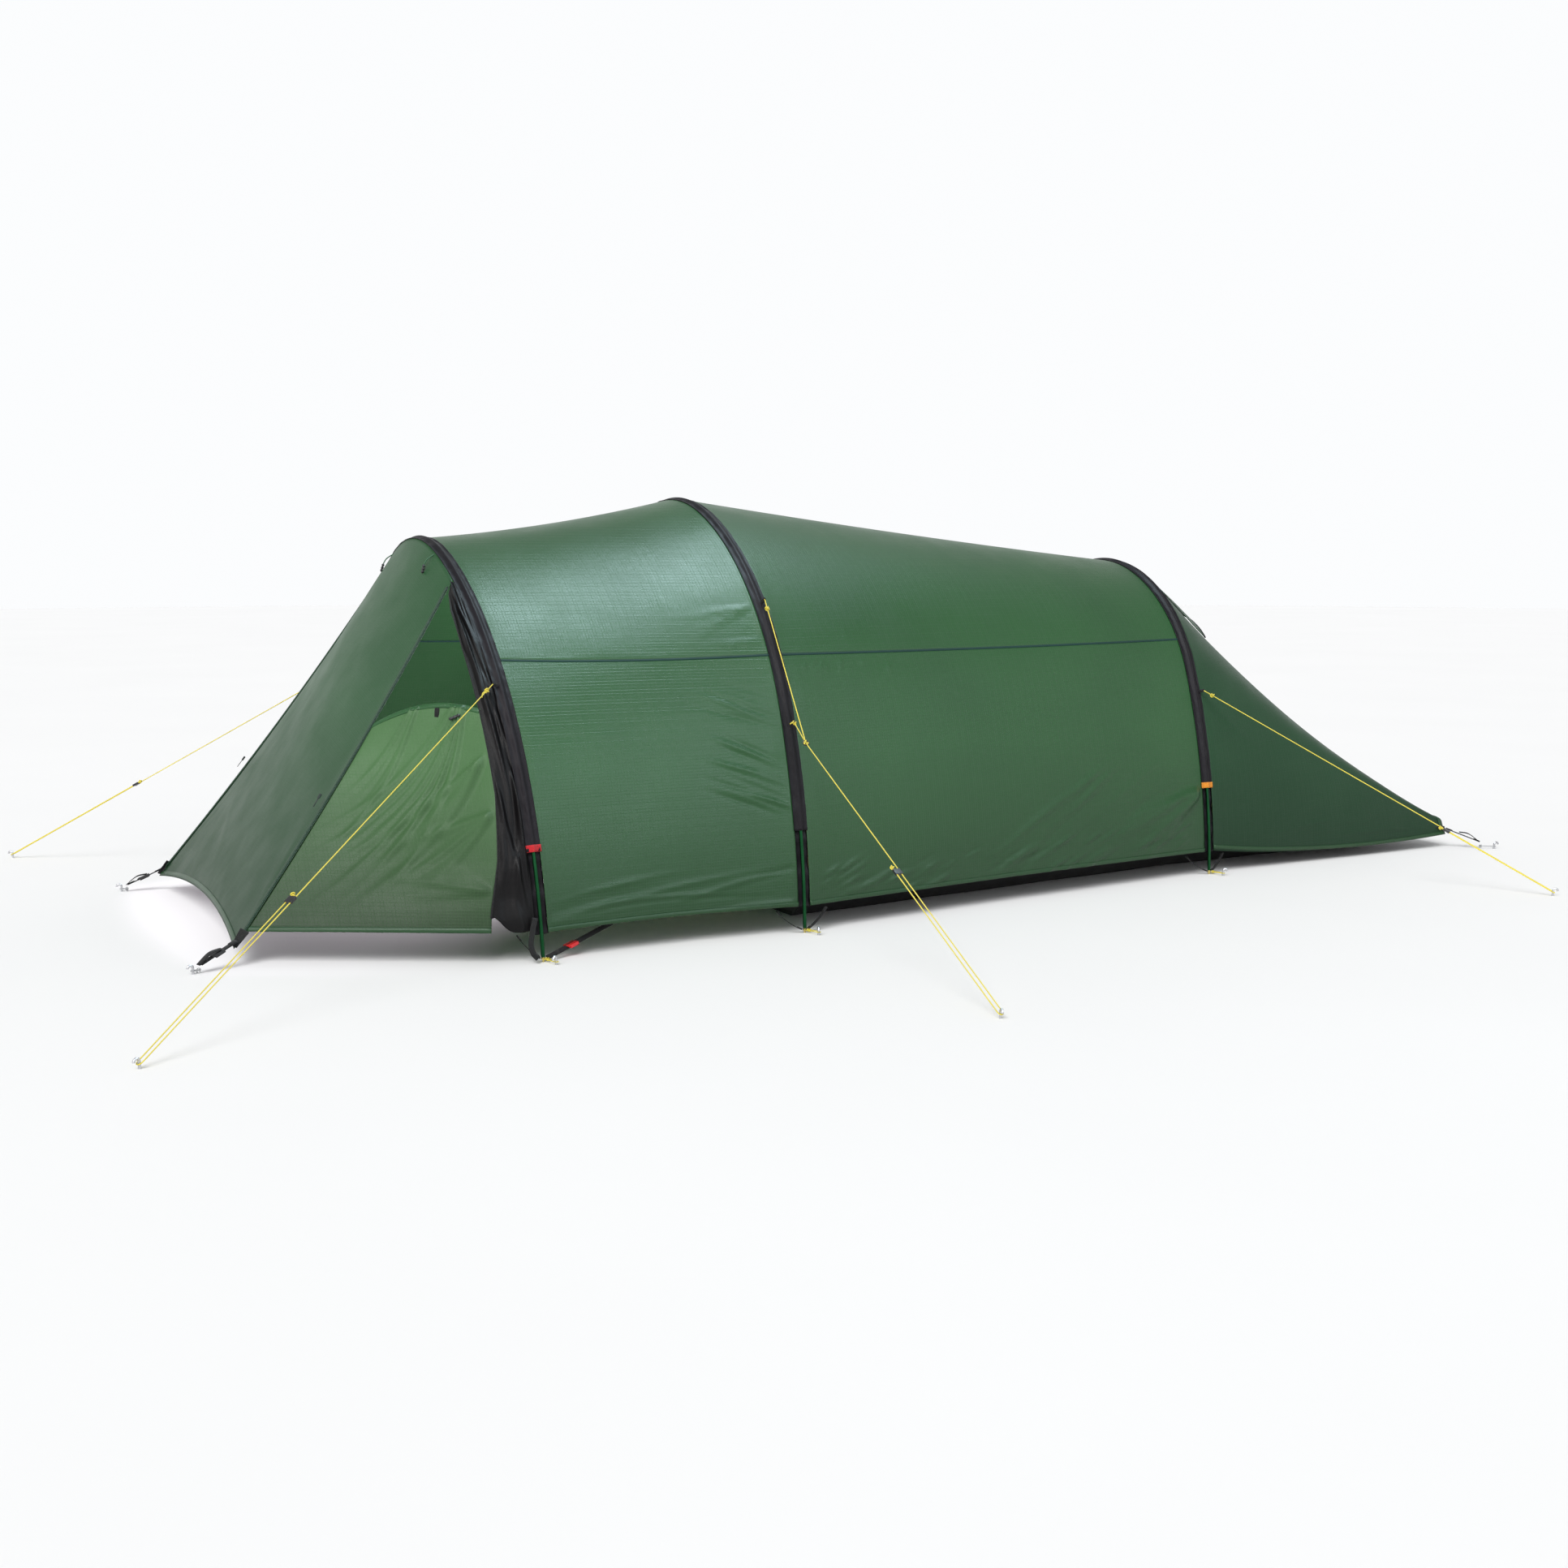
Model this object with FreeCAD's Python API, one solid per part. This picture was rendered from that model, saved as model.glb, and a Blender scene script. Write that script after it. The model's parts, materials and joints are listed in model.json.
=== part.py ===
"""Tunnel tent on three arched poles, pitched and pegged out.

Millimetres. +X runs from the porch to the foot end, +Y to the left as one looks in through the porch,
+Z up. The origin is on the ground, in the middle of the tent's plan. "right" is the -Y side.
"""
import FreeCAD, Part
import math
import os

Vec = FreeCAD.Vector

# ---- stations along the tent ----
FRONT_HOOP_X = -1192.0
MIDDLE_HOOP_X = -475.0
REAR_HOOP_X = 1030.0
FOOT_EDGE_X = 2065.0

# ---- hoops: half width at the ground, height, shoulder radius, lean of the crown along X ----
FRONT_HOOP_SIZE = (836.0, 1008.0, 970.0, -42.0)
MIDDLE_HOOP_SIZE = (804.0, 1118.0, 850.0, -8.0)
REAR_HOOP_SIZE = (559.0, 944.0, 508.0, -5.0)
LEG_ANGLE = math.radians(20)
SHOULDER_ANGLE = math.radians(50)

# ---- poles and sleeves ----
POLE_RADIUS = 4.75
POLE_WALL = 0.7
SPIGOT_HALF_LENGTH = 35.0
SHOCK_CORD_RADIUS = 1.4
SECTIONS_PER_POLE = 8
SLEEVE_HALF_WIDTH = 19.0
SLEEVE_HALF_DEPTH = 8.0
SLEEVE_WALL = 1.2
STRIP_RISE = 0.4
SLEEVE_END_Z = 262.0
BAND_LENGTH = 13.0
BAND_CLEAR = 0.2
BAND_CLOTH = 1.2
TIP_HEIGHT = 12.0
TIP_PIN_RADIUS = 3.0
TIP_COLLAR = 4.0

# ---- fly sheet ----
CLOTH = 2.0
HEM_Z = 70.0
SEAM_Z = 705.0
SEAM_GAP = 1.0
FOOT_SEAM_GAP = 4.0
SLEEVE_GAP = 20.5
PORCH_SAG = 14.0
CABIN_SAG = 7.0
FOOT_SAG = 26.0
FOOT_HALF_WIDTH = 490.0
FOOT_HEM_Z = 48.0
FOOT_EDGE_Z = 92.0

# ---- vent in the foot roof, as shares of the roof's length and width ----
FOOT_ROOF_OUT = Vec(0.62, 0, 0.785)
VENT_TOP = 0.035
VENT_FOOT = 0.12
VENT_SPAN = 0.52
HOOD_TOP = 0.02
HOOD_RIM = 0.19
HOOD_LIFT = 24.0
HOOD_CLEAR = 4.0

# ---- porch front: zip line, door and gusset, on the left side ----
ZIP_TOP = Vec(-1251, 352, 898)
ZIP_FOOT = Vec(-1862, 566, 44)
FRONT_HEM_RISE = 42.0
FRONT_HEM_SETBACK = 26.0
HINGE_FOOT = Vec(-1306, 786, 96)
HINGE_TOP = Vec(-1284, 684, 580)
DOOR_TOP_ON_ZIP = 0.40
DOOR_FOOT_ON_ZIP = 0.955
DOOR_HEM_DROP = 18.0
GUSSET_TOP_ON_ZIP = 0.09
GUSSET_TOP_DROP = 60.0
GUSSET_FOOT_Z = 82.0
ZIP_INSET = 9.0
ZIP_LIFT = 3.8
ZIP_WIDTH = 8.0
ZIP_THICKNESS = 1.6
ZIP_TOP_AT = 0.10
ZIP_FOOT_AT = 0.95
SLIDER_AT = 0.61
SLIDER_LIFT = 7.8
SLIDER_SIZE = (12.0, 9.0, 4.5)
PULL_SIZE = (26.0, 5.0, 1.6)
PANEL_OUT = Vec(-0.8, 0.12, 0.585).normalize()
DOOR_GAP = 5.0
GUSSET_GAP = 24.0

# ---- inner tent and groundsheet ----
INNER_GAP = 70.0
INNER_FRONT_X = MIDDLE_HOOP_X + 62.0
INNER_FOOT_X = FOOT_EDGE_X - 95.0
INNER_CLOTH = 1.5
INNER_HANG = 74.0
INNER_FOOT_HALF_WIDTH = 440.0
TUB_HEIGHT = 115.0
TUB_CLOTH = 2.0
TUB_FLARE = 140.0
TUB_MIDDLE_HALF_WIDTH = 742.0
TUB_REAR_HALF_WIDTH = 516.0
TUB_FOOT_HALF_WIDTH = 452.0
INNER_DOOR_HALF_WIDTH = 270.0
INNER_DOOR_SILL = 165.0
INNER_DOOR_TOP = 800.0
INNER_DOOR_GAP = 2.5

# ---- webbing, buckles and pegs, on the left side ----
WEBBING = 1.8
NARROW_WEBBING = 10.0
RED_STRAP_WIDTH = 12.0
CORNER_STRAP_WIDTH = 14.0
STRAP_TIP_Z = 9.0
MIDDLE_STRAPS = (-75.0, 70.0)
REAR_STRAPS = (-80.0, 62.0)
RED_STRAP_REACH = Vec(210, -92, 60)
RED_BUCKLE_AT = 0.62
CORNER_BUCKLE_AT = 0.5
BUCKLE_LENGTH = 26.0
BUCKLE_DEPTH = 8.0
BUCKLE_MARGIN = 9.0
BUCKLE_SLOT = 3.0
FRONT_STRAP = (Vec(-1856, 568, 62), Vec(-1944, 596, 20))
FOOT_STRAP = (Vec(2068, 494, 62), Vec(2150, 560, 22))
PEG_RADIUS = 3.0
PEG_HEIGHT = 24.0
PEG_BEND = 6.6
FRONT_CORNER_PEG = Vec(-1962, 602, 0)
FOOT_CORNER_PEG = Vec(2186, 590, 0)
POLE_PEG_OFFSET = Vec(16, 46, 0)
LOOP_CORD_RADIUS = 1.0
LOOP_HALF_GAP = 5.0

# ---- guy lines, on the left side ----
CORD_RADIUS = 1.4
STRAND_HALF_GAP = 6.0
TURN_Z = 12.0
FRONT_GUY_PEG = Vec(-2190, 1390, 0)
MIDDLE_GUY_PEG = Vec(-521, 1790, 0)
REAR_GUY_PEG = Vec(1662, 1292, 0)
FRONT_GUY_HEIGHT = 644.0
MIDDLE_GUY_HEIGHT = 831.0
BRANCH_HEIGHT = 527.0
REAR_GUY_HEIGHT = 547.0
JUNCTION = Vec(-482, 822, 491)
JUNCTION_BEND = 14.0
FRONT_TENSIONER_AT = 0.63
MIDDLE_TENSIONER_AT = 0.525
REAR_TENSIONER_AT = 0.71
TENSIONER_SIZE = (20.0, 19.0, 6.0)
TENSIONER_SLOT = 4.0
GUY_LOOP_WIDTH = 9.0
GUY_LOOP_CLOTH = 2.4

# ---- door toggles ----
TOGGLE_RADIUS = 4.0
TOGGLE_LENGTH = 24.0
TOGGLE_HEIGHT = 968.0


def mirror(shape):
    """The same piece on the right side of the tent."""
    return shape.mirror(Vec(0, 0, 0), Vec(0, 1, 0))


def flip(point):
    return Vec(point.x, -point.y, point.z)


def lerp(a, b, t):
    return a + (b - a) * t


def group(shapes):
    return Part.makeCompound(list(shapes))


def join(shapes):
    """Pieces that meet face to face, made one solid."""
    whole = shapes[0]
    if len(shapes) > 1:
        whole = whole.fuse(shapes[1:]).removeSplitter()
    return whole


class Hoop:
    """An arched pole line of five tangent arcs: leg, shoulder, crown, shoulder, leg.

    Angles are measured at each arc's centre from straight up, positive towards +Y. Distances run
    along the pole from the crown's top, positive towards +Y.
    """

    def __init__(self, station, size):
        half_width, height, shoulder, lean = size
        self.station = station
        self.height = height
        self.tilt = math.degrees(math.atan2(lean, height))
        crown_end = math.pi / 2 - LEG_ANGLE - SHOULDER_ANGLE
        leg_start = crown_end + SHOULDER_ANGLE
        wide = half_width - shoulder * (math.sin(leg_start) - math.sin(crown_end))
        tall = height - shoulder * (math.cos(crown_end) - math.cos(leg_start))
        a, b = math.sin(crown_end), 1 - math.sin(leg_start)
        c, d = 1 - math.cos(crown_end), math.cos(leg_start)
        crown = (wide * d - b * tall) / (a * d - b * c)
        leg = (a * tall - c * wide) / (a * d - b * c)
        crown_centre = (0.0, height - crown)
        shoulder_centre = self.step(crown_centre, crown - shoulder, crown_end)
        leg_centre = self.step(shoulder_centre, shoulder - leg, leg_start)
        upper = [(crown_centre, crown, 0.0, crown_end)]
        side = [(shoulder_centre, shoulder, crown_end, leg_start), (leg_centre, leg, leg_start, math.pi / 2)]
        self.arcs = upper + side
        self.half_length = sum(r * (end - start) for _, r, start, end in self.arcs)

    @staticmethod
    def step(centre, distance, angle):
        return (centre[0] + distance * math.sin(angle), centre[1] + distance * math.cos(angle))

    def place(self, shape):
        """From the hoop's own upright plane to its station, leaning about its ground line."""
        shape.rotate(Vec(0, 0, 0), Vec(0, 1, 0), self.tilt)
        shape.translate(Vec(self.station, 0, 0))
        return shape

    def arc_at(self, distance):
        """Centre, radius and angle of the arc under a distance on the +Y half."""
        run = 0.0
        for centre, radius, start, end in self.arcs:
            length = radius * (end - start)
            if distance <= run + length or end > 1.5:
                return centre, radius, start + (distance - run) / radius
            run += length

    def point(self, distance, along=0.0, out=0.0):
        """A point beside the pole line: along the tent, and outwards from it."""
        side = 1 if distance >= 0 else -1
        centre, radius, angle = self.arc_at(abs(distance))
        y = side * (centre[0] + (radius + out) * math.sin(angle))
        z = centre[1] + (radius + out) * math.cos(angle)
        turn = math.radians(self.tilt)
        x = along * math.cos(turn) + z * math.sin(turn)
        return Vec(self.station + x, y, z * math.cos(turn) - along * math.sin(turn))

    def distance_at_height(self, z):
        low, high = 0.0, self.half_length
        for _ in range(40):
            middle = (low + high) / 2
            if self.point(middle).z > z:
                low = middle
            else:
                high = middle
        return low

    def sweep(self, section, start, end):
        """A section, drawn about the origin in XZ, carried along the pole line between two distances."""
        pieces = []
        for side in (1, -1):
            near, far = sorted((start * side, end * side))
            run = 0.0
            for centre, radius, first, last in self.arcs:
                length = radius * (last - first)
                low = max(run, near)
                high = min(run + length, far)
                if high - low > 0.01:
                    angle = first + (low - run) / radius
                    turn = (high - low) / radius
                    face = section.copy()
                    face.translate(Vec(0, 0, radius))
                    face.rotate(Vec(0, 0, 0), Vec(-side, 0, 0), math.degrees(angle))
                    solid = face.revolve(Vec(0, 0, 0), Vec(-side, 0, 0), math.degrees(turn))
                    solid.translate(Vec(0, centre[0] * side, centre[1]))
                    pieces.append(solid)
                run += length
        return self.place(join(pieces))


FRONT_HOOP = Hoop(FRONT_HOOP_X, FRONT_HOOP_SIZE)
MIDDLE_HOOP = Hoop(MIDDLE_HOOP_X, MIDDLE_HOOP_SIZE)
REAR_HOOP = Hoop(REAR_HOOP_X, REAR_HOOP_SIZE)
HOOPS = (("front", FRONT_HOOP), ("middle", MIDDLE_HOOP), ("rear", REAR_HOOP))


# ---- sections and small solids ----
def disc(radius):
    return Part.Face(Part.Wire(Part.makeCircle(radius, Vec(0, 0, 0), Vec(0, 1, 0))))


def ring(outer, inner):
    return disc(outer).cut(disc(inner))


def oval(half_width, half_depth):
    """A flattened round section in XZ, wide along X."""
    curve = Part.Ellipse(Vec(half_width, 0, 0), Vec(0, 0, half_depth), Vec(0, 0, 0))
    return Part.Face(Part.Wire(curve.toShape()))


def frame_at(origin, along, up=Vec(0, 0, 1)):
    """A placement whose X is along and whose Z is as near to up as it can be."""
    x = Vec(along).normalize()
    y = up.cross(x).normalize()
    z = x.cross(y)
    return FreeCAD.Placement(FreeCAD.Matrix(x.x, y.x, z.x, origin.x,
                                            x.y, y.y, z.y, origin.y,
                                            x.z, y.z, z.z, origin.z,
                                            0, 0, 0, 1))


def block(size, at, along, up=Vec(0, 0, 1)):
    """A box centred at a point, its length along a direction."""
    shape = Part.makeBox(size[0], size[1], size[2], Vec(-size[0] / 2, -size[1] / 2, -size[2] / 2))
    shape.Placement = frame_at(at, along, up)
    return shape


def strap(start, end, width, thickness, up=Vec(0, 0, 1)):
    """Flat webbing pulled tight between two points."""
    return block(((end - start).Length, width, thickness), (start + end) * 0.5, end - start, up)


def tube(edges, radius):
    """A round cord along joined edges."""
    path = Part.Wire(edges)
    first = path.Edges[0]
    tangent = first.tangentAt(first.FirstParameter)
    start = first.valueAt(first.FirstParameter)
    profile = Part.Wire(Part.makeCircle(radius, start, tangent))
    return path.makePipeShell([profile], True, False)


def skin(point, columns, rows, thickness=CLOTH):
    """Cloth over a surface given as point(u, v), both from 0 to 1, thickened inwards.

    Inwards is the side that u cross v points away from.
    """
    def grid(depth):
        lines = []
        for i in range(columns):
            line = []
            for j in range(rows):
                u = i / (columns - 1)
                v = j / (rows - 1)
                step = 0.004
                across = point(min(u + step, 1), v) - point(max(u - step, 0), v)
                up = point(u, min(v + step, 1)) - point(u, max(v - step, 0))
                line.append(point(u, v) - across.cross(up).normalize() * depth)
            lines.append(line)
        surface = Part.BSplineSurface()
        surface.interpolate(lines)
        return surface.toShape()

    outer = grid(0)
    inner = grid(thickness)
    sides = [Part.makeRuledSurface(a, b) for a, b in zip(outer.Edges, inner.Edges)]
    shell = Part.makeShell([outer, inner] + sides)
    shell.sewShape()
    solid = Part.makeSolid(shell)
    if solid.Volume < 0:
        solid.reverse()
    return solid


def plate(points, thickness, direction):
    """A flat panel with straight edges, thickened one way."""
    face = Part.Face(Part.makePolygon(list(points) + [points[0]]))
    return face.extrude(Vec(direction).normalize() * thickness)


# ---- poles ----
def pole(hoop):
    """Bent tube sections end to end, from tip to tip."""
    start = -hoop.half_length + TIP_HEIGHT
    length = 2 * -start / SECTIONS_PER_POLE
    section = ring(POLE_RADIUS, POLE_RADIUS - POLE_WALL)
    return group(hoop.sweep(section, start + i * length, start + (i + 1) * length)
                 for i in range(SECTIONS_PER_POLE))


def spigots():
    """Short inner tubes that join the pole sections."""
    outer = POLE_RADIUS - POLE_WALL - 0.1
    section = ring(outer, outer - 0.8)
    solids = []
    for _, hoop in HOOPS:
        start = -hoop.half_length + TIP_HEIGHT
        length = 2 * -start / SECTIONS_PER_POLE
        for i in range(1, SECTIONS_PER_POLE):
            middle = start + i * length
            solids.append(hoop.sweep(section, middle - SPIGOT_HALF_LENGTH, middle + SPIGOT_HALF_LENGTH))
    return group(solids)


def shock_cords():
    """The elastic cord threaded through each pole."""
    solids = []
    for _, hoop in HOOPS:
        reach = hoop.half_length - TIP_HEIGHT - 22
        solids.append(hoop.sweep(disc(SHOCK_CORD_RADIUS), -reach, reach))
    return group(solids)


def pole_tips():
    """A stepped tip on each pole end, standing on the ground."""
    solids = []
    for _, hoop in HOOPS:
        foot = hoop.point(hoop.half_length)
        pin = Part.makeCylinder(TIP_PIN_RADIUS, TIP_HEIGHT, Vec(foot.x, foot.y, 0))
        collar = Part.makeCylinder(POLE_RADIUS + 0.6, TIP_COLLAR, Vec(foot.x, foot.y, TIP_HEIGHT / 2))
        tip = pin.fuse(collar).removeSplitter()
        solids += [tip, mirror(tip)]
    return group(solids)


def sleeve(hoop):
    """The flattened cloth tunnel that a pole slides through, and the flat strip below it."""
    reach = hoop.distance_at_height(SLEEVE_END_Z)
    outer = oval(SLEEVE_HALF_WIDTH, SLEEVE_HALF_DEPTH)
    inner = oval(SLEEVE_HALF_WIDTH - SLEEVE_WALL, SLEEVE_HALF_DEPTH - SLEEVE_WALL)
    tunnel = hoop.sweep(outer.cut(inner), -reach, reach)
    corner = Vec(-SLEEVE_HALF_WIDTH, 0, STRIP_RISE - SLEEVE_HALF_DEPTH)
    flat = Part.makePlane(SLEEVE_WALL, 2 * SLEEVE_HALF_WIDTH, corner, Vec(0, 1, 0))
    strip = hoop.sweep(flat, reach, hem_reach(hoop))
    return join([tunnel, strip, mirror(strip)])


def sleeve_bands(hoop):
    """The coloured binding round each end of a sleeve."""
    grow = BAND_CLEAR + BAND_CLOTH
    outer = oval(SLEEVE_HALF_WIDTH + grow, SLEEVE_HALF_DEPTH + grow)
    inner = oval(SLEEVE_HALF_WIDTH + BAND_CLEAR, SLEEVE_HALF_DEPTH + BAND_CLEAR)
    start = hoop.distance_at_height(SLEEVE_END_Z) - BAND_LENGTH
    band = hoop.sweep(outer.cut(inner), start, start + BAND_LENGTH)
    return group([band, mirror(band)])


# ---- fly sheet ----
def bay(front, rear, sag, first, last):
    """The cloth between two hoops, from one side seam or hem to another.

    first and last give the distance along each hoop where the panel starts and ends, from right to left.
    """
    def point(u, v):
        a = front.point(first[0] + (last[0] - first[0]) * v, SLEEVE_GAP)
        b = rear.point(first[1] + (last[1] - first[1]) * v, -SLEEVE_GAP)
        middle = lerp(a, b, u)
        centre = Vec(middle.x, 0, 300)
        return middle - (middle - centre).normalize() * sag * 4 * u * (1 - u)
    return skin(lambda u, v: point(v, 1 - u), 9, 7)


def seam_reach(hoop):
    return hoop.distance_at_height(SEAM_Z)


def hem_reach(hoop):
    return hoop.distance_at_height(HEM_Z)


def roof(front, rear, sag):
    last = (seam_reach(front), seam_reach(rear))
    return bay(front, rear, sag, (-last[0], -last[1]), last)


def wall(front, rear, sag):
    """A bay's side panel on the left, from the side seam to the hem."""
    first = (seam_reach(front) + SEAM_GAP, seam_reach(rear) + SEAM_GAP)
    return bay(front, rear, sag, first, (hem_reach(front), hem_reach(rear)))


def foot_point(reach_from, reach_to, edge_from, edge_to):
    """Cloth from the rear hoop down to the low foot edge."""
    def point(u, v):
        top = REAR_HOOP.point(reach_from + (reach_to - reach_from) * v, SLEEVE_GAP)
        low = lerp(edge_from, edge_to, v)
        middle = lerp(top, low, u)
        return middle - Vec(0.45, 0, 0.9) * FOOT_SAG * 4 * u * (1 - u)
    return point


FOOT_CORNER_LOW = Vec(FOOT_EDGE_X, FOOT_HALF_WIDTH, FOOT_HEM_Z)
FOOT_CORNER_HIGH = Vec(FOOT_EDGE_X, FOOT_HALF_WIDTH - 18, FOOT_EDGE_Z)


def foot_wall():
    start = seam_reach(REAR_HOOP) + FOOT_SEAM_GAP
    point = foot_point(start, hem_reach(REAR_HOOP), FOOT_CORNER_HIGH, FOOT_CORNER_LOW)
    return skin(lambda u, v: point(v, 1 - u), 7, 7)


def foot_roof_point(u, v, out=0.0):
    """A point on the foot roof, u from the rear hoop down to the foot and v from right to left."""
    reach = seam_reach(REAR_HOOP)
    high = FOOT_CORNER_HIGH + Vec(0, -2, 3)
    return foot_point(-reach, reach, flip(high), high)(u, v) + FOOT_ROOF_OUT * out


def vent_patch(inset, out, thickness):
    """A patch of the foot roof where the vent is, smaller by an inset at each side."""
    span = VENT_SPAN - inset

    def point(u, v):
        down = VENT_TOP + inset + (VENT_FOOT - VENT_TOP - 2 * inset) * u
        return foot_roof_point(down, 0.5 + span * (v - 0.5), out)
    return skin(lambda u, v: point(v, 1 - u), 7, 3, thickness)


def foot_roof():
    """The roof of the foot end, open under the vent hood."""
    whole = skin(lambda u, v: foot_roof_point(v, 1 - u), 9, 7)
    return whole.cut(vent_patch(0, 12, 26))


def vent_mesh():
    """The insect mesh across the vent."""
    return vent_patch(0.012, -0.5, 1.0)


# ---- porch front ----
def zip_point(t, inset=0.0):
    """A point on the left zip line, from its top at 0 to the front corner at 1."""
    return lerp(ZIP_TOP, ZIP_FOOT, t) - Vec(0, inset, 0)


def front_panel():
    """The sloping panel between the two zips, from the front hoop's crown to the ground."""
    reach = FRONT_HOOP.distance_at_height(ZIP_TOP.z)
    edge = zip_point(0, DOOR_GAP) - FRONT_HOOP.point(reach, -SLEEVE_GAP)

    def point(u, v):
        side = 2 * v - 1
        shift = edge if side > 0 else flip(edge)
        top = FRONT_HOOP.point(reach * side, -SLEEVE_GAP) + shift * abs(side) ** 3
        arch = 1 - side * side
        low = Vec(ZIP_FOOT.x + FRONT_HEM_SETBACK * arch, (ZIP_FOOT.y - DOOR_GAP) * side,
                  ZIP_FOOT.z + FRONT_HEM_RISE * arch)
        return lerp(top, low, u)
    return skin(lambda u, v: point(v, u), 9, 7)


def door():
    """The left door below its folded-down top, between the hinge line and the zip."""
    def point(u, v):
        hinge = lerp(HINGE_TOP, HINGE_FOOT - Vec(0, 0, DOOR_HEM_DROP), v)
        free = zip_point(lerp(DOOR_TOP_ON_ZIP, DOOR_FOOT_ON_ZIP, v))
        back = (free - hinge).normalize()
        return lerp(hinge + back * DOOR_GAP, free - back * DOOR_GAP, u)
    return skin(lambda u, v: point(v, u), 5, 7)


def gusset():
    """The black side strip between the front sleeve and the left door."""
    top_reach = FRONT_HOOP.distance_at_height(ZIP_TOP.z - GUSSET_TOP_DROP)
    mid_reach = FRONT_HOOP.distance_at_height(HINGE_TOP.z)
    low_reach = FRONT_HOOP.distance_at_height(GUSSET_FOOT_Z)
    seam_share = 0.992

    def upper(u, v):
        down = u * seam_share
        sleeve_edge = FRONT_HOOP.point(lerp(top_reach, mid_reach, down), -GUSSET_GAP)
        return lerp(sleeve_edge, lerp(zip_point(GUSSET_TOP_ON_ZIP), HINGE_TOP, down), v)

    def lower(u, v):
        sleeve_edge = FRONT_HOOP.point(lerp(mid_reach, low_reach, u), -GUSSET_GAP)
        return lerp(sleeve_edge, lerp(HINGE_TOP, HINGE_FOOT, u), v)
    return group([skin(upper, 5, 3), skin(lower, 7, 3)])


def door_zips():
    """The zip tape and teeth along the front panel's edge, one on each side."""
    lift = PANEL_OUT * ZIP_LIFT
    top = zip_point(ZIP_TOP_AT, ZIP_INSET) + lift
    foot = zip_point(ZIP_FOOT_AT, ZIP_INSET) + lift
    tape = strap(top, foot, ZIP_WIDTH, ZIP_THICKNESS, PANEL_OUT)
    return group([tape, mirror(tape)])


def zip_slider():
    """A slider on the left zip with its pull tab."""
    along = (ZIP_FOOT - ZIP_TOP).normalize()
    at = zip_point(SLIDER_AT, ZIP_INSET) + PANEL_OUT * SLIDER_LIFT
    body = block(SLIDER_SIZE, at, along, PANEL_OUT)
    pull = block(PULL_SIZE, at + along * (SLIDER_SIZE[0] + PULL_SIZE[0] - 4) / 2, along, PANEL_OUT)
    return body.fuse(pull).removeSplitter()


# ---- foot end vent ----
def vent_hood():
    """The stiffened hood over the vent, sewn down at its top and sides and lifted at its rim."""
    def point(u, v):
        side = 2 * v - 1
        lift = HOOD_CLEAR + HOOD_LIFT * math.sin(u * math.pi / 2) * (1 - side ** 4)
        across = 0.5 + (VENT_SPAN + 0.05) * (v - 0.5)
        return foot_roof_point(HOOD_TOP + (HOOD_RIM - HOOD_TOP) * u, across, lift)
    return skin(lambda u, v: point(v, 1 - u), 11, 5, 1.5)


# ---- inner tent and groundsheet ----
def tub_outline(inset, z):
    """The floor's corners, drawn in by the thickness of its sides. The sides flare outwards as they rise."""
    drawn_in = inset + TUB_FLARE * (1 - z / TUB_HEIGHT)
    front_x = INNER_FRONT_X + 4 + inset
    foot_x = INNER_FOOT_X - drawn_in
    half = [Vec(front_x, TUB_MIDDLE_HALF_WIDTH - drawn_in, z), Vec(REAR_HOOP_X, TUB_REAR_HALF_WIDTH - drawn_in, z),
            Vec(foot_x, TUB_FOOT_HALF_WIDTH - drawn_in, z)]
    corners = half + [flip(p) for p in reversed(half)]
    return Part.makePolygon(corners + corners[:1])


def groundsheet():
    """The waterproof floor with its raised sides."""
    outer = Part.makeLoft([tub_outline(0, 0), tub_outline(0, TUB_HEIGHT)], True, True)
    hollow = Part.makeLoft([tub_outline(TUB_CLOTH, 0), tub_outline(TUB_CLOTH, TUB_HEIGHT)], True, True)
    hollow.translate(Vec(0, 0, TUB_CLOTH))
    return outer.cut(hollow)


def inner_cabin():
    """The breathable inner tent hung inside the fly, between the middle and rear hoops and beyond."""
    front_reach = MIDDLE_HOOP.distance_at_height(TUB_HEIGHT + 40)
    rear_reach = REAR_HOOP.distance_at_height(TUB_HEIGHT + 40)

    def cabin(u, v):
        side = 2 * v - 1
        a = MIDDLE_HOOP.point(front_reach * side, INNER_HANG, -INNER_GAP)
        b = REAR_HOOP.point(rear_reach * side, 0, -INNER_GAP)
        middle = lerp(a, b, u)
        middle.z = max(middle.z, TUB_HEIGHT + 1)
        return middle

    def foot(u, v):
        side = 2 * v - 1
        a = REAR_HOOP.point(rear_reach * side, 1, -INNER_GAP)
        across = math.copysign(min(1.0, 1.9 * abs(side)), side)
        b = Vec(INNER_FOOT_X - 5, INNER_FOOT_HALF_WIDTH * across, TUB_HEIGHT + 24 * (1 - abs(side)))
        return lerp(a, b, u)
    return group([skin(lambda u, v: cabin(v, 1 - u), 13, 5, INNER_CLOTH),
                  skin(lambda u, v: foot(v, 1 - u), 17, 5, INNER_CLOTH)])


def door_outline(grow):
    """The inner doorway: straight sides under a round top."""
    half = INNER_DOOR_HALF_WIDTH + grow
    sill = INNER_DOOR_SILL - grow
    spring = INNER_DOOR_TOP - INNER_DOOR_HALF_WIDTH
    x = INNER_FRONT_X
    arch = Part.Arc(Vec(x, half, spring), Vec(x, 0, spring + half), Vec(x, -half, spring)).toShape()
    sides = [Part.makeLine(Vec(x, -half, spring), Vec(x, -half, sill)),
             Part.makeLine(Vec(x, -half, sill), Vec(x, half, sill)),
             Part.makeLine(Vec(x, half, sill), Vec(x, half, spring))]
    return Part.Face(Part.Wire([arch] + sides))


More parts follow.
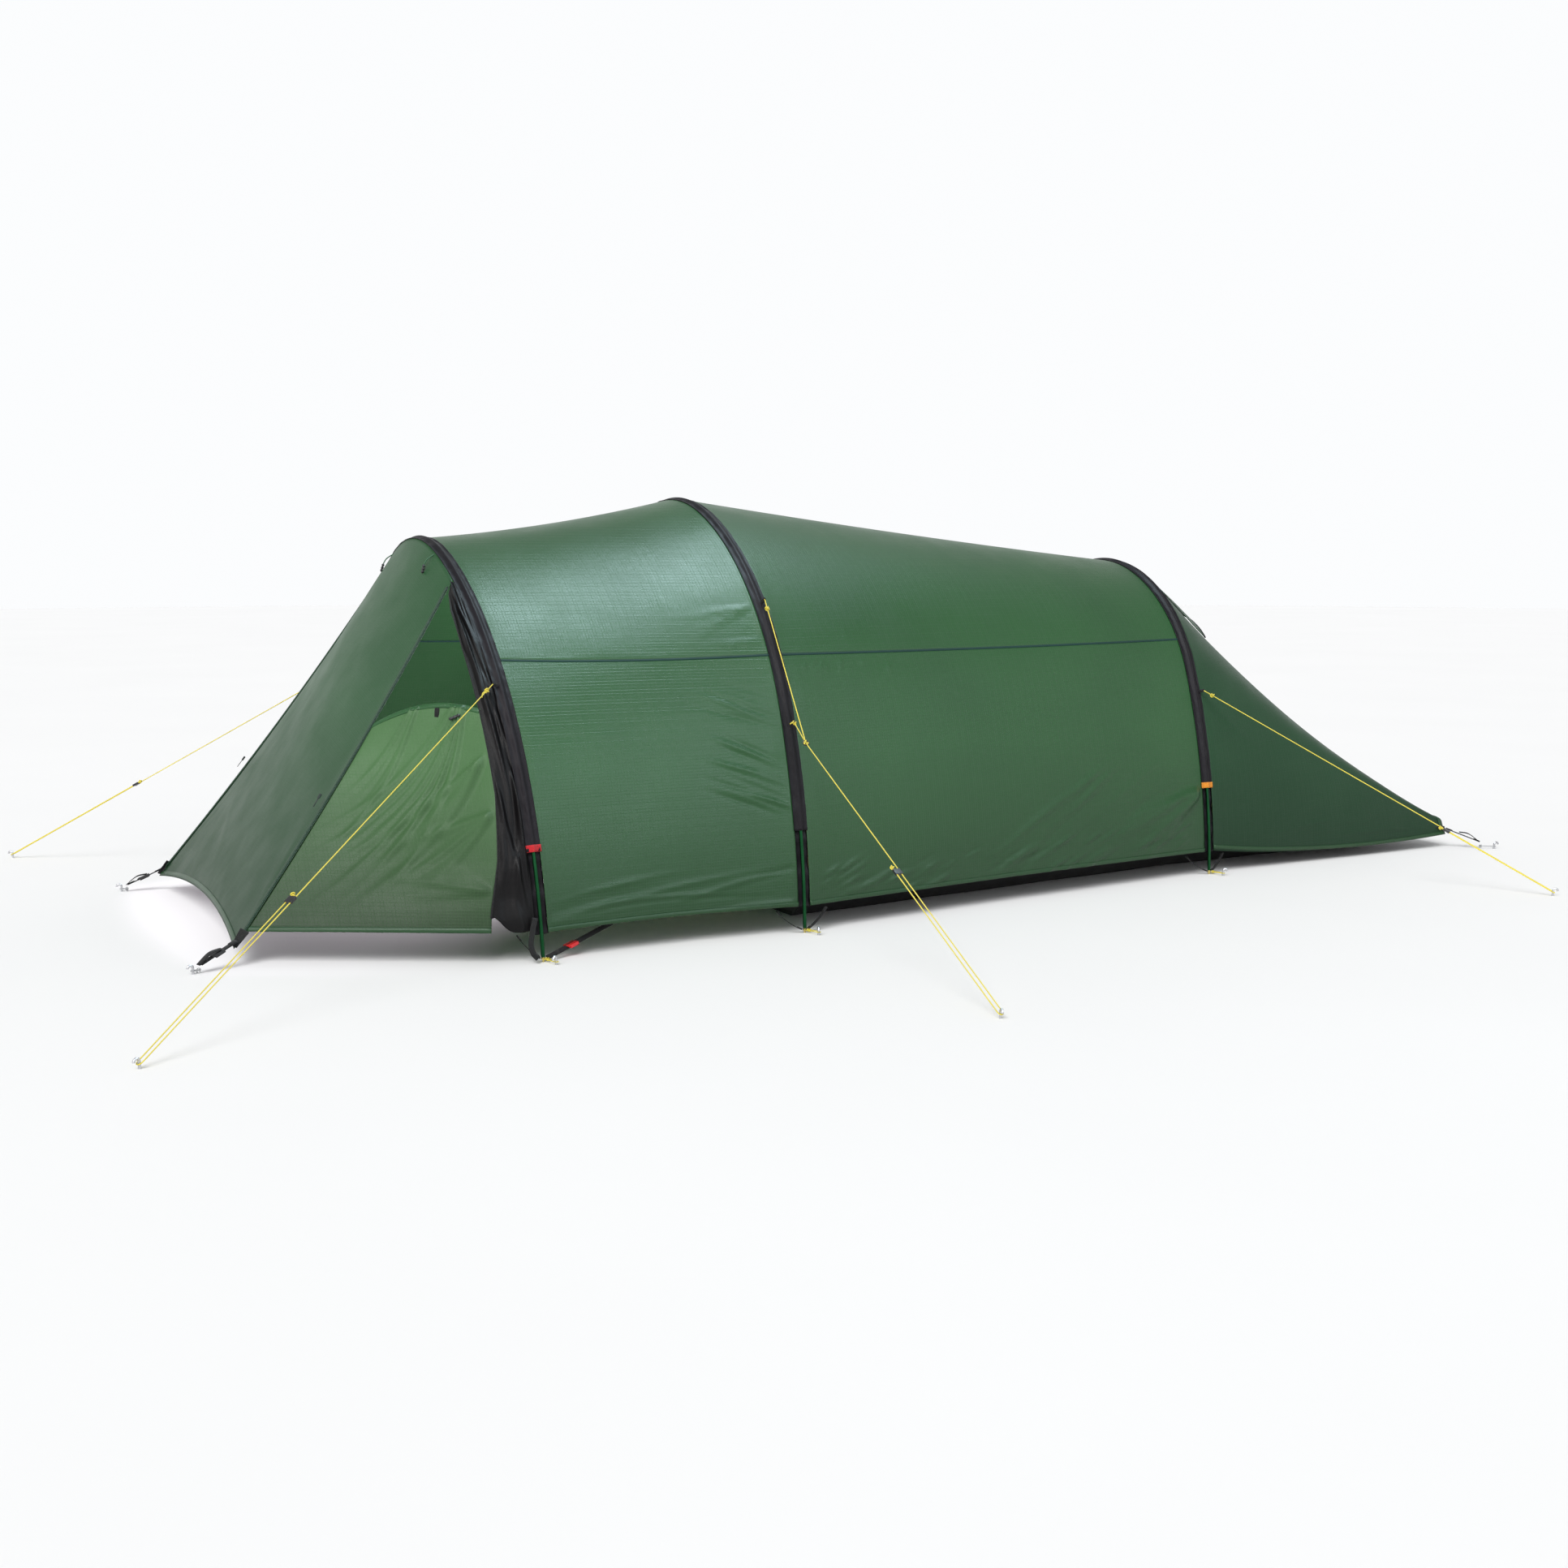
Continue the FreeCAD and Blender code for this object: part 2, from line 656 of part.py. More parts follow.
def inner_front():
    """The inner tent's upright front wall, with the doorway cut out."""
    reach = MIDDLE_HOOP.distance_at_height(TUB_HEIGHT)
    edge = []
    for i in range(13):
        point = MIDDLE_HOOP.point(reach * (1 - i / 6), 0, -INNER_GAP)
        edge.append(Vec(INNER_FRONT_X, point.y, max(point.z, TUB_HEIGHT - 8)))
    curve = Part.BSplineCurve()
    curve.interpolate(edge)
    base = Part.makeLine(edge[-1], edge[0])
    face = Part.Face(Part.Wire([curve.toShape(), base]))
    wall_face = face.cut(door_outline(INNER_DOOR_GAP))
    return wall_face.extrude(Vec(INNER_CLOTH, 0, 0))


def inner_door():
    return door_outline(0).extrude(Vec(INNER_CLOTH, 0, 0))


# ---- webbing, buckles and pegs ----
def pole_foot(hoop):
    return hoop.point(hoop.half_length)


def hoop_foot_straps(hoop, lengths):
    """Webbing from the hem to the pole tip, in front of and behind the pole, on both sides."""
    foot = pole_foot(hoop)
    solids = []
    for length in lengths:
        hem = Vec(foot.x + length, foot.y - 14, 58)
        tip = Vec(foot.x + math.copysign(STRAP_TIP_Z, length), foot.y, STRAP_TIP_Z)
        piece = strap(hem, tip, NARROW_WEBBING, WEBBING)
        solids += [piece, mirror(piece)]
    return group(solids)


def red_strap():
    """Ends of the front hoop's long adjustable strap: at the hem and at the pole tip."""
    foot = pole_foot(FRONT_HOOP)
    ground = Vec(foot.x, foot.y, 0)
    return ground + RED_STRAP_REACH, ground + Vec(STRAP_TIP_Z, 0, STRAP_TIP_Z)


def front_foot_straps():
    """The front hoop's short strap, its long adjustable one and a hanging tail, on both sides."""
    foot = pole_foot(FRONT_HOOP)
    tip = Vec(foot.x - STRAP_TIP_Z, foot.y, STRAP_TIP_Z)
    short = strap(tip + Vec(-53, -12, 57), tip, NARROW_WEBBING, WEBBING)
    hem, end = red_strap()
    long = strap(hem, end, RED_STRAP_WIDTH, WEBBING)
    tail = strap(tip + Vec(-13, 9, 83), tip + Vec(-21, 14, -5), CORNER_STRAP_WIDTH, 3.0, Vec(0, 1, 0))
    one_side = [short, long, tail]
    return group(one_side + [mirror(piece) for piece in one_side])


def ladder_buckle(ends, at, width):
    """A slotted buckle round a strap, free to slide along it."""
    start, end = ends
    direction = (end - start).normalize()
    middle = lerp(start, end, at)
    body = block((BUCKLE_LENGTH, width + BUCKLE_MARGIN, BUCKLE_DEPTH), middle, direction)
    slot = block((BUCKLE_LENGTH + 4, width + 1.6, BUCKLE_SLOT), middle, direction)
    lip_length = 6.0
    lip_at = middle + direction * (BUCKLE_LENGTH + lip_length) / 2
    lip = block((lip_length, width + BUCKLE_MARGIN, 2.4), lip_at, direction)
    lip.translate(frame_at(Vec(0, 0, 0), direction).Rotation.multVec(Vec(0, 0, BUCKLE_DEPTH * 0.4)))
    return body.cut(slot).fuse(lip).removeSplitter()


def corner_straps():
    """Webbing from each corner of the fly towards its peg."""
    solids = []
    for start, end in (FRONT_STRAP, FOOT_STRAP):
        piece = strap(start, end, CORNER_STRAP_WIDTH, WEBBING)
        solids += [piece, mirror(piece)]
    return group(solids)


def peg(at):
    """The part of a hooked wire peg that stands above the ground."""
    top = at + Vec(0, 0, PEG_HEIGHT - PEG_BEND - PEG_RADIUS)
    outward = Vec(at.x, at.y, 0).normalize()
    centre = top + outward * PEG_BEND
    arc = Part.Arc(top, centre + Vec(0, 0, PEG_BEND), centre + outward * PEG_BEND).toShape()
    return tube([Part.makeLine(at, top), arc], PEG_RADIUS)


def pegs():
    """Every peg: guy lines, fly corners and pole feet."""
    places = [FRONT_GUY_PEG, MIDDLE_GUY_PEG, REAR_GUY_PEG, FRONT_CORNER_PEG, FOOT_CORNER_PEG]
    for _, hoop in HOOPS:
        foot = pole_foot(hoop)
        places.append(Vec(foot.x, foot.y, 0) + POLE_PEG_OFFSET)
    solids = []
    for place in places:
        piece = peg(place)
        solids += [piece, mirror(piece)]
    return group(solids)


def peg_loop(start, stake):
    """A thin cord loop, lying flat, from a strap's end round a peg."""
    loop_z = BUCKLE_DEPTH
    aim = Vec(stake.x - start.x, stake.y - start.y, 0).normalize()
    near = Vec(start.x, start.y, loop_z) + aim * 4
    far = Vec(stake.x, stake.y, loop_z)
    side = Vec(-aim.y, aim.x, 0) * LOOP_HALF_GAP
    edges = [Part.makeLine(near + side, far + side),
             Part.Arc(far + side, far + aim * LOOP_HALF_GAP, far - side).toShape(),
             Part.makeLine(far - side, near - side)]
    return tube(edges, LOOP_CORD_RADIUS)


def peg_loops():
    """Thin cord loops that hold the pole feet and the fly corners to their pegs."""
    ends = [(FRONT_STRAP[1], FRONT_CORNER_PEG), (FOOT_STRAP[1], FOOT_CORNER_PEG)]
    for _, hoop in HOOPS:
        foot = pole_foot(hoop)
        ends.append((foot + Vec(6, 6, 0), Vec(foot.x, foot.y, 0) + POLE_PEG_OFFSET))
    solids = []
    for start, stake in ends:
        piece = peg_loop(start, stake)
        solids += [piece, mirror(piece)]
    return group(solids)


# ---- guy lines ----
class GuyLine:
    """A tight line from a sleeve loop to a tensioner, round the peg and back to the tensioner."""

    def __init__(self, start, stake, tensioner_at, via=None):
        """via is the junction that a branched line is pulled down to on its way."""
        self.top = start
        self.via = via
        start = via or start
        self.start = start
        turn = stake + Vec(0, 0, TURN_Z)
        self.side = Vec(0, 0, 1).cross(turn - start).normalize()
        self.end = turn - self.side * STRAND_HALF_GAP - (turn - start).normalize() * 0.6
        self.along = (self.end - start).normalize()
        self.tensioner = lerp(start, self.end, tensioner_at)
        self.up = self.along.cross(self.side)

    def upper_edges(self):
        """The line above the turn at the peg, with a soft bend at the junction if it has one."""
        if self.via is None:
            return [Part.makeLine(self.start, self.end)]
        first = (self.via - self.top).normalize()
        enter = self.via - first * JUNCTION_BEND
        leave = self.via + self.along * JUNCTION_BEND
        half_turn = math.acos(first.dot(self.along)) / 2
        radius = JUNCTION_BEND / math.tan(half_turn)
        inward = ((enter + leave) * 0.5 - self.via).normalize()
        middle = self.via + inward * (radius / math.cos(half_turn) - radius)
        return [Part.makeLine(self.top, enter), Part.Arc(enter, middle, leave).toShape(),
                Part.makeLine(leave, self.end)]

    def path(self):
        """Down one strand to the peg, round it, and back up the other to the tensioner."""
        gap = self.side * STRAND_HALF_GAP * 2
        turn = self.end + self.side * STRAND_HALF_GAP + self.along * STRAND_HALF_GAP
        back_end = self.tensioner + gap - self.along * (TENSIONER_SIZE[0] / 2 + 8)
        return self.upper_edges() + [Part.Arc(self.end, turn, self.end + gap).toShape(),
                                     Part.makeLine(self.end + gap, back_end)]

    def cord(self):
        return tube(self.path(), CORD_RADIUS)

    def lock(self):
        """The line tensioner, with a clear square slot for each strand."""
        centre = self.tensioner + self.side * STRAND_HALF_GAP
        body = block(TENSIONER_SIZE, centre, self.along, self.up)
        slot_size = (TENSIONER_SIZE[0] + 4, TENSIONER_SLOT, TENSIONER_SLOT)
        for offset in (-STRAND_HALF_GAP, STRAND_HALF_GAP):
            body = body.cut(block(slot_size, centre + self.side * offset, self.along, self.up))
        return body


def guy_attachment(hoop, z, along, out):
    return hoop.point(hoop.distance_at_height(z), along, out)


FRONT_GUY_START = guy_attachment(FRONT_HOOP, FRONT_GUY_HEIGHT, -SLEEVE_HALF_WIDTH - 4, 16)
REAR_GUY_START = guy_attachment(REAR_HOOP, REAR_GUY_HEIGHT, SLEEVE_HALF_WIDTH, 18)
MIDDLE_GUY_START = guy_attachment(MIDDLE_HOOP, MIDDLE_GUY_HEIGHT, 4, 26)
BRANCH_START = guy_attachment(MIDDLE_HOOP, BRANCH_HEIGHT, 4, 26)
FRONT_GUY = GuyLine(FRONT_GUY_START, FRONT_GUY_PEG, FRONT_TENSIONER_AT)
REAR_GUY = GuyLine(REAR_GUY_START, REAR_GUY_PEG, REAR_TENSIONER_AT)
MIDDLE_GUY = GuyLine(MIDDLE_GUY_START, MIDDLE_GUY_PEG, MIDDLE_TENSIONER_AT, JUNCTION)


def branch_path():
    """The short lower line, which ends in a knot at the junction."""
    aim = (JUNCTION - BRANCH_START).normalize()
    knot_clear = 4.5
    return [Part.makeLine(BRANCH_START, JUNCTION - aim * knot_clear)]


def guy_loops():
    """Webbing loops sewn to the sleeves where the guy lines start."""
    edge = SLEEVE_HALF_WIDTH * 0.55
    places = [(FRONT_HOOP, FRONT_GUY_START, FRONT_GUY_HEIGHT, -edge),
              (REAR_HOOP, REAR_GUY_START, REAR_GUY_HEIGHT, edge),
              (MIDDLE_HOOP, MIDDLE_GUY_START, MIDDLE_GUY_HEIGHT, 0),
              (MIDDLE_HOOP, BRANCH_START, BRANCH_HEIGHT, 0)]
    cord_clear = 2.6
    solids = []
    for hoop, end, height, along in places:
        root = hoop.point(hoop.distance_at_height(height), along, SLEEVE_HALF_DEPTH + 0.6)
        direction = (end - root).normalize()
        piece = strap(root, end - direction * cord_clear, GUY_LOOP_WIDTH, GUY_LOOP_CLOTH, Vec(1, 0, 0.3))
        solids += [piece, mirror(piece)]
    return group(solids)


def toggles():
    """The toggle on each side under the front hoop's crown that holds a rolled-up door."""
    crown = FRONT_HOOP.point(FRONT_HOOP.distance_at_height(TOGGLE_HEIGHT), -8, -48)
    piece = Part.makeCylinder(TOGGLE_RADIUS, TOGGLE_LENGTH, crown, Vec(-0.3, 0.1, -1))
    return group([piece, mirror(piece)])


def build():
    """Every node of the tent, by name."""
    nodes = {
        "pole_spigots": spigots(),
        "shock_cords": shock_cords(),
        "pole_tips": pole_tips(),
        "sleeve_bands_front": sleeve_bands(FRONT_HOOP),
        "sleeve_bands_rear": sleeve_bands(REAR_HOOP),
        "porch_roof": roof(FRONT_HOOP, MIDDLE_HOOP, PORCH_SAG),
        "cabin_roof": roof(MIDDLE_HOOP, REAR_HOOP, CABIN_SAG),
        "foot_roof": foot_roof(),
        "front_panel": front_panel(),
        "vent_hood": vent_hood(),
        "vent_mesh": vent_mesh(),
        "groundsheet": groundsheet(),
        "inner_tent": inner_cabin(),
        "inner_front_wall": inner_front(),
        "inner_door": inner_door(),
        "door_zips": door_zips(),
        "foot_straps_front": front_foot_straps(),
        "foot_straps_middle": hoop_foot_straps(MIDDLE_HOOP, MIDDLE_STRAPS),
        "foot_straps_rear": hoop_foot_straps(REAR_HOOP, REAR_STRAPS),
        "corner_straps": corner_straps(),
        "pegs": pegs(),
        "peg_loops": peg_loops(),
        "guy_loops": guy_loops(),
        "toggles": toggles(),
    }
    for name, hoop in HOOPS:
        nodes["pole_" + name] = pole(hoop)
        nodes["sleeve_" + name] = sleeve(hoop)
    paired = {
        "porch_wall": wall(FRONT_HOOP, MIDDLE_HOOP, PORCH_SAG),
        "cabin_wall": wall(MIDDLE_HOOP, REAR_HOOP, CABIN_SAG),
        "foot_wall": foot_wall(),
        "door": door(),
        "gusset": gusset(),
        "zip_slider": zip_slider(),
        "red_buckle": ladder_buckle(red_strap(), RED_BUCKLE_AT, RED_STRAP_WIDTH),
        "corner_buckle": ladder_buckle(FRONT_STRAP, CORNER_BUCKLE_AT, CORNER_STRAP_WIDTH),
        "guyline_front": FRONT_GUY.cord(),
        "guyline_middle": MIDDLE_GUY.cord(),
        "guyline_rear": REAR_GUY.cord(),
        "guyline_branch": tube(branch_path(), CORD_RADIUS),
        "tensioner_front": FRONT_GUY.lock(),
        "tensioner_middle": MIDDLE_GUY.lock(),
        "tensioner_rear": REAR_GUY.lock(),
    }
    for name, shape in paired.items():
        nodes[name + "_left"] = shape
        nodes[name + "_right"] = mirror(shape)
    return nodes


def describe_cords():
    """Each guy line's length and bend radii."""
    paths = {"front": FRONT_GUY.path(), "middle": MIDDLE_GUY.path(),
             "rear": REAR_GUY.path(), "branch": branch_path()}
    for name, edges in paths.items():
        bends = [round(edge.Curve.Radius, 1) for edge in edges if hasattr(edge.Curve, "Radius")]
        length = sum(edge.Length for edge in edges)
        print("guy line", name, "length", round(length), "bend radii", bends, "cord diameter", 2 * CORD_RADIUS)


def main():
    os.makedirs("parts", exist_ok=True)
    describe_cords()
    for name, shape in build().items():
        if not shape.isValid():
            print("not valid:", name)
        print(name, "solids", len(shape.Solids), "volume cm3", round(shape.Volume / 1000, 2))
        shape.exportStep("parts/" + name + ".step")


main()
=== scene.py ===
"""Looks of the tunnel tent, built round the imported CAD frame.

Metres, in the frame's own axes: +X from the porch to the foot end, +Y to the left, +Z up. The side that
faces the camera is the right one, -Y. Pieces are drawn for the left side and mirrored where both exist.
"""
import json
import math

import bmesh
import bpy
import numpy as np
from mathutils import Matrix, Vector


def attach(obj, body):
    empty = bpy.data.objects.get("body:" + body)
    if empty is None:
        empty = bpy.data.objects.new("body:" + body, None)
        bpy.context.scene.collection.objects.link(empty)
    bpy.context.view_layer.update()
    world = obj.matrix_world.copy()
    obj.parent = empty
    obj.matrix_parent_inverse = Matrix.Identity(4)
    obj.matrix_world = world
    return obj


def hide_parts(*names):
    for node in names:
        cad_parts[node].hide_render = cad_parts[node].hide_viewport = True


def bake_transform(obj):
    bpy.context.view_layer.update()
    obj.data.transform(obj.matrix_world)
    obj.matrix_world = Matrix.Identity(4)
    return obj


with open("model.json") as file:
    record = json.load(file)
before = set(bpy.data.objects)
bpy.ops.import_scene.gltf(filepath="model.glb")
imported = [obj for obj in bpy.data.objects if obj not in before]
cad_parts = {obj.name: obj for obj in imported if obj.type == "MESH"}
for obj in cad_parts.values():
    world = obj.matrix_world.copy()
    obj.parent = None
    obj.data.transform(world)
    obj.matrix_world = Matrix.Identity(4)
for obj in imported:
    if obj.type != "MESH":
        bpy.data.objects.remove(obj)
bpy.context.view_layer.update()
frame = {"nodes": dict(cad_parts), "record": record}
SIDES = (("_left", 1), ("_right", -1))


def vec(x, y, z):
    return np.array([x, y, z], float)


UP = vec(0, 0, 1)

# ---- camera ----
CAMERA_AT = (-2.661, -5.053, 0.97)
CAMERA_YAW = 0.464
CAMERA_PITCH = -0.122
CAMERA_LENS = 43.47
SENSOR = 36.0

# ---- hoops, sleeves and seams, as in the CAD ----
LEG_ANGLE = math.radians(20)
SHOULDER_ANGLE = math.radians(50)
SLEEVE_HALF = 0.019
SLEEVE_END_Z = 0.262
CLOTH_EDGE = 0.0172
HEM_Z = 0.070
SEAM_Z = 0.705

# ---- porch front and foot, on the left side ----
ZIP_TOP = vec(-1.251, 0.352, 0.898)
ZIP_FOOT = vec(-1.862, 0.566, 0.044)
ZIP_BOW = vec(0.8, 0, -0.6) * 0.014
PANEL_OUT = vec(-0.8, 0.12, 0.585)
DOOR_TOP_ON_ZIP = 0.40
DOOR_FOOT_ON_ZIP = 0.955
FOOT_X = 2.065
FOOT_HALF = 0.490
PORCH_SAG, CABIN_SAG, FOOT_SAG = 0.014, 0.007, 0.026

# ---- cloth, tape and cord ----
CLOTH = 0.0011
HEM_TAPE = (0.012, 0.0026)
CORD = 0.0028
LOOP_CORD = 0.002

rng = np.random.default_rng(11)


# ---- numbers ----
def unit(a):
    a = np.asarray(a, float)
    return a / np.maximum(np.linalg.norm(a, axis=-1, keepdims=True), 1e-12)


def mix(a, b, t):
    return a + (b - a) * t


def smooth(t):
    t = np.clip(t, 0, 1)
    return t * t * (3 - 2 * t)


def flip(points, side):
    """Left-side points, or their mirror image on the right."""
    return np.asarray(points, float) * vec(1, side, 1)


def grid(columns, rows, low=0):
    """Two shares over a sheet: u from 0 to 1 by column, v from low to 1 by row."""
    return np.meshgrid(np.linspace(0, 1, columns), np.linspace(low, 1, rows), indexing="ij")


def through(points, count):
    """A smooth run of points that passes through a few given ones."""
    p = np.asarray(points, float)
    p = np.vstack([2 * p[0] - p[1], p, 2 * p[-1] - p[-2]])
    t = np.linspace(0, len(p) - 3, count)
    i = np.minimum(t.astype(int), len(p) - 4)
    f = (t - i)[:, None]
    a, b, c, d = p[i], p[i + 1], p[i + 2], p[i + 3]
    square = (2 * a - 5 * b + 4 * c - d) * f ** 2
    cube = (3 * b - a - 3 * c + d) * f ** 3
    return 0.5 * (2 * b + (c - a) * f + square + cube)


class Hoop:
    """The pole line, of five arcs: leg, shoulder, crown, shoulder, leg.

    Distances run along it from the crown, left positive.
    """

    def __init__(self, station, half_width, height, shoulder, lean):
        self.station = station
        self.tilt = math.atan2(lean, height)
        crown_end = math.pi / 2 - LEG_ANGLE - SHOULDER_ANGLE
        leg_start = crown_end + SHOULDER_ANGLE
        wide = half_width - shoulder * (math.sin(leg_start) - math.sin(crown_end))
        tall = height - shoulder * (math.cos(crown_end) - math.cos(leg_start))
        a, b = math.sin(crown_end), 1 - math.sin(leg_start)
        c, d = 1 - math.cos(crown_end), math.cos(leg_start)
        crown = (wide * d - b * tall) / (a * d - b * c)
        leg = (a * tall - c * wide) / (a * d - b * c)
        shoulder_y = (crown - shoulder) * math.sin(crown_end)
        shoulder_z = height - crown + (crown - shoulder) * math.cos(crown_end)
        leg_y = shoulder_y + (shoulder - leg) * math.sin(leg_start)
        leg_z = shoulder_z + (shoulder - leg) * math.cos(leg_start)
        self.centre_y = vec(0, shoulder_y, leg_y)
        self.centre_z = vec(height - crown, shoulder_z, leg_z)
        self.radius = vec(crown, shoulder, leg)
        self.start = vec(0, crown_end, leg_start)
        lengths = self.radius * np.diff(np.append(self.start, math.pi / 2))
        self.run = np.concatenate([[0], np.cumsum(lengths)])
        self.half_length = self.run[-1]

    def point(self, distance, along=0.0, out=0.0):
        """A point on the pole line, or beside it: along the tent, or outwards."""
        distance = np.asarray(distance, float)
        d = np.abs(distance)
        arc = np.clip(np.searchsorted(self.run[1:], d), 0, 2)
        angle = self.start[arc] + (d - self.run[arc]) / self.radius[arc]
        reach = self.radius[arc] + out
        y = np.where(distance < 0, -1, 1) * (self.centre_y[arc] + reach * np.sin(angle))
        z = self.centre_z[arc] + reach * np.cos(angle)
        level, lean = math.cos(self.tilt), math.sin(self.tilt)
        x = self.station + along * level + z * lean
        return np.stack(np.broadcast_arrays(x, y, z * level - along * lean), -1)

    def outward(self, distance):
        return unit(self.point(distance, 0, 0.01) - self.point(distance))

    def at_height(self, z):
        table = np.linspace(0, self.half_length, 1500)
        return np.interp(-np.asarray(z, float), -self.point(table)[:, 2], table)


FRONT = Hoop(-1.192, 0.836, 1.008, 0.970, -0.042)
MIDDLE = Hoop(-0.475, 0.804, 1.118, 0.850, -0.008)
REAR = Hoop(1.030, 0.559, 0.944, 0.508, -0.005)
HOOPS = {"front": FRONT, "middle": MIDDLE, "rear": REAR}


def zip_at(t, inset=0.0):
    """A point on the left zip, 0 at its top and 1 at the front corner. The zip bows in a little."""
    t = np.asarray(t, float)[..., None]
    return mix(ZIP_TOP, ZIP_FOOT, t) + ZIP_BOW * 4 * t * (1 - t) - vec(0, inset, 0)


# ---- materials ----
class Nodes:
    """Short calls that add nodes to a node tree."""

    def __init__(self, owner):
        owner.use_nodes = True
        self.nodes = owner.node_tree.nodes
        self.links = owner.node_tree.links

    def feed(self, node, inputs):
        """Sets or links a node's inputs."""
        for key, value in inputs.items():
            if isinstance(value, bpy.types.NodeSocket):
                self.links.new(value, node.inputs[key])
            else:
                node.inputs[key].default_value = value

    def add(self, kind, output, inputs, **settings):
        """One output of a new node."""
        node = self.nodes.new("ShaderNode" + kind)
        for name, value in settings.items():
            setattr(node, name, value)
        self.feed(node, inputs)
        return node.outputs[output]

    def span(self, value, low, high, out_low, out_high, **settings):
        inputs = {"Value": value, "From Min": low, "From Max": high, "To Min": out_low, "To Max": out_high}
        return self.add("MapRange", "Result", inputs, **settings)


class Shader(Nodes):
    """A Principled material."""

    def __init__(self, name, constants):
        self.material = bpy.data.materials.new(name)
        super().__init__(self.material)
        self.bsdf = self.nodes["Principled BSDF"]
        self.feed(self.bsdf, constants)
        self.place = self.add("TexCoord", "Object", {})

    def noise(self, scale, detail=3.0, stretch=(1, 1, 1)):
        at = self.add("Mapping", "Vector", {"Vector": self.place, "Scale": stretch})
        return self.add("TexNoise", "Fac", {"Vector": at, "Scale": scale, "Detail": detail})

    def uneven(self, low, high, *noise):
        """A value that drifts between two others."""
        return self.span(self.noise(*noise), 0.3, 0.7, low, high)

    def bands(self, period, direction, wander=0.0):
        """Ripples along an axis, one every period metres."""
        inputs = {"Vector": self.place, "Scale": 2 * math.pi / (20 * period), "Distortion": wander}
        return self.add("TexWave", "Fac", inputs, bands_direction=direction)

    def height(self):
        """Metres above the ground."""
        return self.add("SeparateXYZ", "Z", {"Vector": self.place})

    def cells(self, scale):
        return self.add("TexVoronoi", "Distance", {"Vector": self.place, "Scale": scale})

    def math(self, operation, a, b):
        return self.add("Math", 0, {0: a, 1: b}, operation=operation)

    def blend(self, factor, a, b):
        a, b = (c if isinstance(c, bpy.types.NodeSocket) else (*c, 1) for c in (a, b))
        return self.add("Mix", "Result", {"Factor": factor, "A": a, "B": b}, data_type="RGBA")

    def finish(self, colour, roughness, height=None, depth=0.001, strength=0.5):
        self.feed(self.bsdf, {"Base Color": colour, "Roughness": roughness})
        if height is not None:
            inputs = {"Strength": strength, "Distance": depth, "Height": height}
            self.feed(self.bsdf, {"Normal": self.add("Bump", "Normal", inputs)})
        return self.material


def woven(name, base, shade, rough, weave=0.0016, ripstop=None, crease=0.35, hem=None, shine=0.5, fuzz=0.0):
    """Coated or plain cloth: fine weave, faint ripstop grid, soft creases, uneven tone and gloss.

    hem, where given, paints shade towards the ground: the tone at the ground and the height where the cloth's
    own tone is reached.
    """
    s = Shader(name, {"Roughness": rough[0], "Specular IOR Level": shine, "Sheen Weight": fuzz})
    colour = s.blend(s.uneven(0.0, 1.0, 2.3, 4), base, shade)
    if hem:
        ground_shade_tone, ground_shade_top_z = hem
        # Painted shade: the colour darkens towards the ground.
        low = s.span(s.height(), 0.05, ground_shade_top_z, 1.0, 0.0)
        colour = s.blend(low, colour, [c * ground_shade_tone for c in shade])
    threads = s.math("ADD", s.bands(weave, "X"), s.bands(weave, "Z"))
    height = s.math("MULTIPLY", threads, 0.12)
    if ripstop:
        lines = s.math("MAXIMUM", s.bands(ripstop, "X"), s.bands(ripstop, "Z"))
        lines = s.span(lines, 0.93, 1.0, 0.0, 1.0)
        colour = s.blend(s.math("MULTIPLY", lines, 0.22), colour, shade)
        height = s.math("ADD", height, s.math("MULTIPLY", lines, 0.3))
    soft = s.noise(34, 5, (1.0, 1.0, 1.6))
    height = s.math("ADD", height, s.math("MULTIPLY", soft, crease * 2))
    return s.finish(colour, s.uneven(*rough, 9, 3), height, 0.0012, 0.55)


def webbing(name, base, shade):
    """Narrow woven tape with a ribbed face."""
    s = Shader(name, {"Sheen Weight": 0.08, "Specular IOR Level": 0.3})
    ribs = s.math("MULTIPLY", s.bands(0.0022, "DIAGONAL", 0.4), s.bands(0.0015, "Z", 0.2))
    colour = s.blend(s.span(ribs, 0.1, 0.8, 0, 1), shade, base)
    return s.finish(colour, s.uneven(0.65, 0.85, 160), ribs, 0.0006, 0.8)


def braid(name, base, fleck, period=0.0021):
    """Braided cord with a paler fleck in the cover."""
    s = Shader(name, {"Sheen Weight": 0.15})
    twist = s.bands(period, "DIAGONAL", 0.6)
    flecks = s.span(s.cells(420), 0.10, 0.22, 1.0, 0.0)
    cover = s.blend(twist, [c * 0.72 for c in base], base)
    colour = s.blend(s.math("MULTIPLY", flecks, 0.6), cover, fleck)
    return s.finish(colour, s.uneven(0.45, 0.7, 300), twist, 0.0006, 0.7)


def metal(name, base, shade, rough, worn=(0.75, 0.75, 0.72)):
    """Alloy, with fine drawing marks, small scratches and tone drift."""
    s = Shader(name, {"Metallic": 1.0})
    drift = s.span(s.noise(14, 4), 0.35, 0.65, 0, 1)
    scratches = s.span(s.noise(240, 6, (1, 1, 0.06)), 0.66, 0.72, 0, 1)
    colour = s.blend(s.math("MULTIPLY", scratches, 0.35), s.blend(drift, base, shade), worn)
    gloss = s.uneven(rough - 0.06, rough + 0.14, 90, 3, (1, 1, 0.1))
    return s.finish(colour, gloss, s.noise(380, 4, (1, 1, 0.1)), 0.0002, 0.35)


